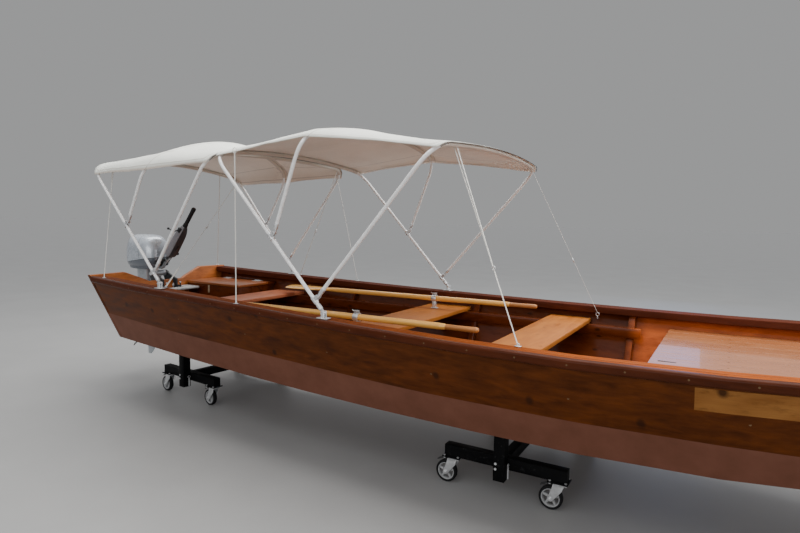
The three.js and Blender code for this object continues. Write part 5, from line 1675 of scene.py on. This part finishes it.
# Stay straps. Each runs from a bow, at the given place across it, down to a fitting on the hull.
strapSizes = {
    "width": 0.0058, "thickness": 0.0016, "spread": 0.008, "keep": 0.05, "thin": 0.5, "lifted": 0.003,
    "foldedWidth": 3.2, "foldedThickness": 2.5, "loop": (0.0145, 0.0016), "loopLift": 0.008,
    "ring": (0.0085, 0.0018), "buckle": (0.01, 0.003, 0.013), "hook": (0.01, 0.002), "hookZ": -0.006,
    "eye": (0.0085, 0.002), "eyePlace": (0, 0.004, -0.024), "plateLow": (0.014, 0.008, 0.0006),
    "plateHigh": (0.014, 0.008, 0.0022), "plateRing": (0.0065, 0.0016), "plateRingZ": 0.006,
    "tuck": 0.01, "shoulderSteps": 60,
}
strapRuns = [
    {"name": "fore_aft_starboard", "bow": ("fore", "main"), "top": (-1.965, -0.701, 1.652),
     "low": (-1.972, -0.69, 0.8215)},
    {"name": "fore_front_starboard", "bow": ("fore", "front"), "across": -0.515,
     "low": (-0.347, -0.694, 0.7965), "joinZ": 1.105},
    {"name": "fore_front_port", "bow": ("fore", "front"), "across": 0.6, "low": (-0.31, 0.6775, 0.752),
     "buckle": 0.64, "hook": True},
    {"name": "rear_main_starboard", "bow": ("rear", "main"), "across": -0.49,
     "low": (-3.345, -0.6, 0.862), "joinZ": 1.445},
    {"name": "rear_main_port", "bow": ("rear", "main"), "across": 0.466, "low": (-3.506, 0.54, 0.8765)},
    {"name": "rear_cross_starboard", "bow": ("rear", "main"), "across": 0.625,
     "low": (-2.735, -0.566, 0.842), "buckle": 0.5, "thin": True, "doubled": 0.13},
    {"name": "rear_front_port", "bow": ("rear", "front"), "across": 0.64, "low": (-2.1, 0.668, 0.8255)},
    {"name": "rear_side_port", "bow": ("rear", "front"), "across": 0.585, "low": (-2.64, 0.632, 0.8395),
     "buckle": 0.56},
]


def bowPointAt(bow, across):
    side, reach = math.copysign(1, across), abs(across)
    if reach <= bow["top"] - bowShape["shoulder"]:
        return inRow(bow, across, archPoint(bow, reach), -bowShape["tube"])
    steps = strapSizes["shoulderSteps"]
    points = [shoulderPoint(bow, k / steps) for k in range(steps + 1)]
    y, s = min(points, key=lambda point: abs(point[0] - reach))
    return inRow(bow, side * (y - strapSizes["tuck"]), s)


def addStrap(bm, start, end, width, thickness):
    along = end - start
    half = Vector((width, thickness, along.length)) / 2
    addBlockAt(bm, (start + end) / 2, half, turn=along.to_track_quat("Z", "Y").to_matrix())


# The metal at the foot: a hook with its eye, or a screwed plate with a ring.
def addStrapFoot(bm, low, hooked):
    if hooked:
        addRing(bm, low + Vector((0, 0, strapSizes["hookZ"])), (0, 1, 0), *strapSizes["hook"])
        addRing(bm, low + Vector(strapSizes["eyePlace"]), (1, 0, 0), *strapSizes["eye"])
    else:
        addBlock(bm, low - Vector(strapSizes["plateLow"]), low + Vector(strapSizes["plateHigh"]), 0.0008)
        addRing(bm, low + Vector((0, 0, strapSizes["plateRingZ"])), (0, 1, 0), *strapSizes["plateRing"], 18)


def buildStrap(run):
    awning, part = run["bow"]
    top = Vector(run["top"]) if "top" in run else bowPointAt(bowOf(awning, part), run["across"])
    low = Vector(run["low"])
    end = low + Vector((0, 0, strapSizes["lifted"]))
    width = strapSizes["width"] * (strapSizes["thin"] if run.get("thin") else 1)
    thickness = strapSizes["thickness"]
    webbing, metal = bmesh.new(), bmesh.new()
    if "joinZ" in run:
        join = top.lerp(low, (top.z - run["joinZ"]) / (top.z - low.z))
        spread = Vector((strapSizes["spread"], 0, 0))
        addStrap(webbing, top + spread, join, width, thickness)
        addStrap(webbing, top - spread, join, width, thickness)
        addStrap(webbing, join, end, width, thickness)
        addRing(metal, join, (0.2, 1, 0), *strapSizes["ring"])
    else:
        addStrap(webbing, top, end, width, thickness)
    if "doubled" in run:
        addStrap(webbing, end.lerp(top, run["doubled"]), end, width * strapSizes["foldedWidth"],
                 thickness * strapSizes["foldedThickness"])
    addRing(webbing, top + Vector((0, 0, strapSizes["loopLift"])), (0, 1, 0), *strapSizes["loop"])
    if "buckle" in run:
        turn = (low - top).to_track_quat("Z", "Y").to_matrix()
        addBlockAt(metal, top.lerp(low, run["buckle"]), strapSizes["buckle"], 0.0015, 1, turn)
    addStrapFoot(metal, low, run.get("hook"))
    strap = finishPiece(f"strap_{run['name']}", webbing, "webbing", "boat")
    fixed = finishPiece(f"strap_metal_{run['name']}", metal, "fitting", "boat",
                        sharpAngle=50)
    for piece in (strap, fixed):
        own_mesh(piece)


for run in strapRuns:
    buildStrap(run)
print("straps done")

# Floor and light. The floor lies just under the wheels.
floorSettings = {"half": 120.0, "z": -0.0005, "dark": (0.31, 0.31, 0.306, 1), "light": (0.34, 0.34, 0.335, 1),
                 "rough": 0.5}


def buildStage():
    bm = bmesh.new()
    bmesh.ops.create_grid(bm, x_segments=1, y_segments=1, size=floorSettings["half"])
    mesh = bpy.data.meshes.new("studioFloor")
    bm.to_mesh(mesh)
    bm.free()
    material, tree, shader, spot = newMaterial("floorGrey")
    clouds = remap(tree, noiseAt(tree, spot["Object"], 1.5, 4.0, 0.6), 0.3, 0.7)
    color = mixColors(tree, clouds, floorSettings["dark"], floorSettings["light"])
    setInputs(tree, shader, {"Base Color": color, "Roughness": floorSettings["rough"]})
    mesh.materials.append(material)
    floor = bpy.data.objects.new("studioFloor", mesh)
    bpy.context.scene.collection.objects.link(floor)
    floor.location.z = floorSettings["z"]


# Name, place, aim, size, power and colour of each lamp. The window gives the deck its cool reflection.
lightSettings = [
    ("overhead", (-0.5, 0.8, 4.6), (-0.5, 0.4, 0.0), (8.5, 4.5), 480.0, (1.0, 0.98, 0.95)),
    ("front", (0.0, -6.5, 2.6), (-0.8, 0.0, 0.8), (6.0, 2.5), 110.0, (1.0, 0.99, 0.98)),
    ("bowSide", (8.0, 1.5, 3.0), (0.0, 0.0, 0.8), (4.0, 3.0), 110.0, (0.93, 0.97, 1.0)),
    ("window", (-0.55, 7.5, 2.1), (0.0, 0.0, 0.7), (1.0, 2.8), 12.0, (0.26, 0.46, 1.0)),
]
skySettings = {"horizon": (0.15, 0.152, 0.155, 1), "zenith": (1.15, 1.16, 1.18, 1),
               "seen": (0.345, 0.348, 0.35, 1)}


def addLights():
    for name, place, target, size, energy, color in lightSettings:
        data = bpy.data.lights.new(name, "AREA")
        data.shape = "RECTANGLE"
        data.size, data.size_y = size
        data.energy = energy
        data.color = color
        light = bpy.data.objects.new(name, data)
        light.location = place
        light.rotation_euler = (Vector(target) - Vector(place)).to_track_quat("-Z", "Y").to_euler()
        light.visible_camera = False
        bpy.context.scene.collection.objects.link(light)


# The sky lights the boat more from above, and is an even grey where the camera sees it.
def addSky():
    world = bpy.data.worlds.new("studioWorld")
    bpy.context.scene.world = world
    world.use_nodes = True
    tree = world.node_tree
    shown = tree.nodes["Background"]
    shown.inputs[0].default_value = skySettings["seen"]
    height = splitVector(tree, addNode(tree, "ShaderNodeTexCoord").outputs["Generated"])["Z"]
    sky = mixColors(tree, remap(tree, height, 0.0, 0.9), skySettings["horizon"], skySettings["zenith"])
    lighting = addNode(tree, "ShaderNodeBackground", {"Color": sky}).outputs[0]
    seen = addNode(tree, "ShaderNodeLightPath").outputs["Is Camera Ray"]
    blend = addNode(tree, "ShaderNodeMixShader", {0: seen, 1: lighting, 2: shown.outputs[0]}).outputs[0]
    setInputs(tree, tree.nodes["World Output"], {"Surface": blend})


buildStage()
addLights()
addSky()
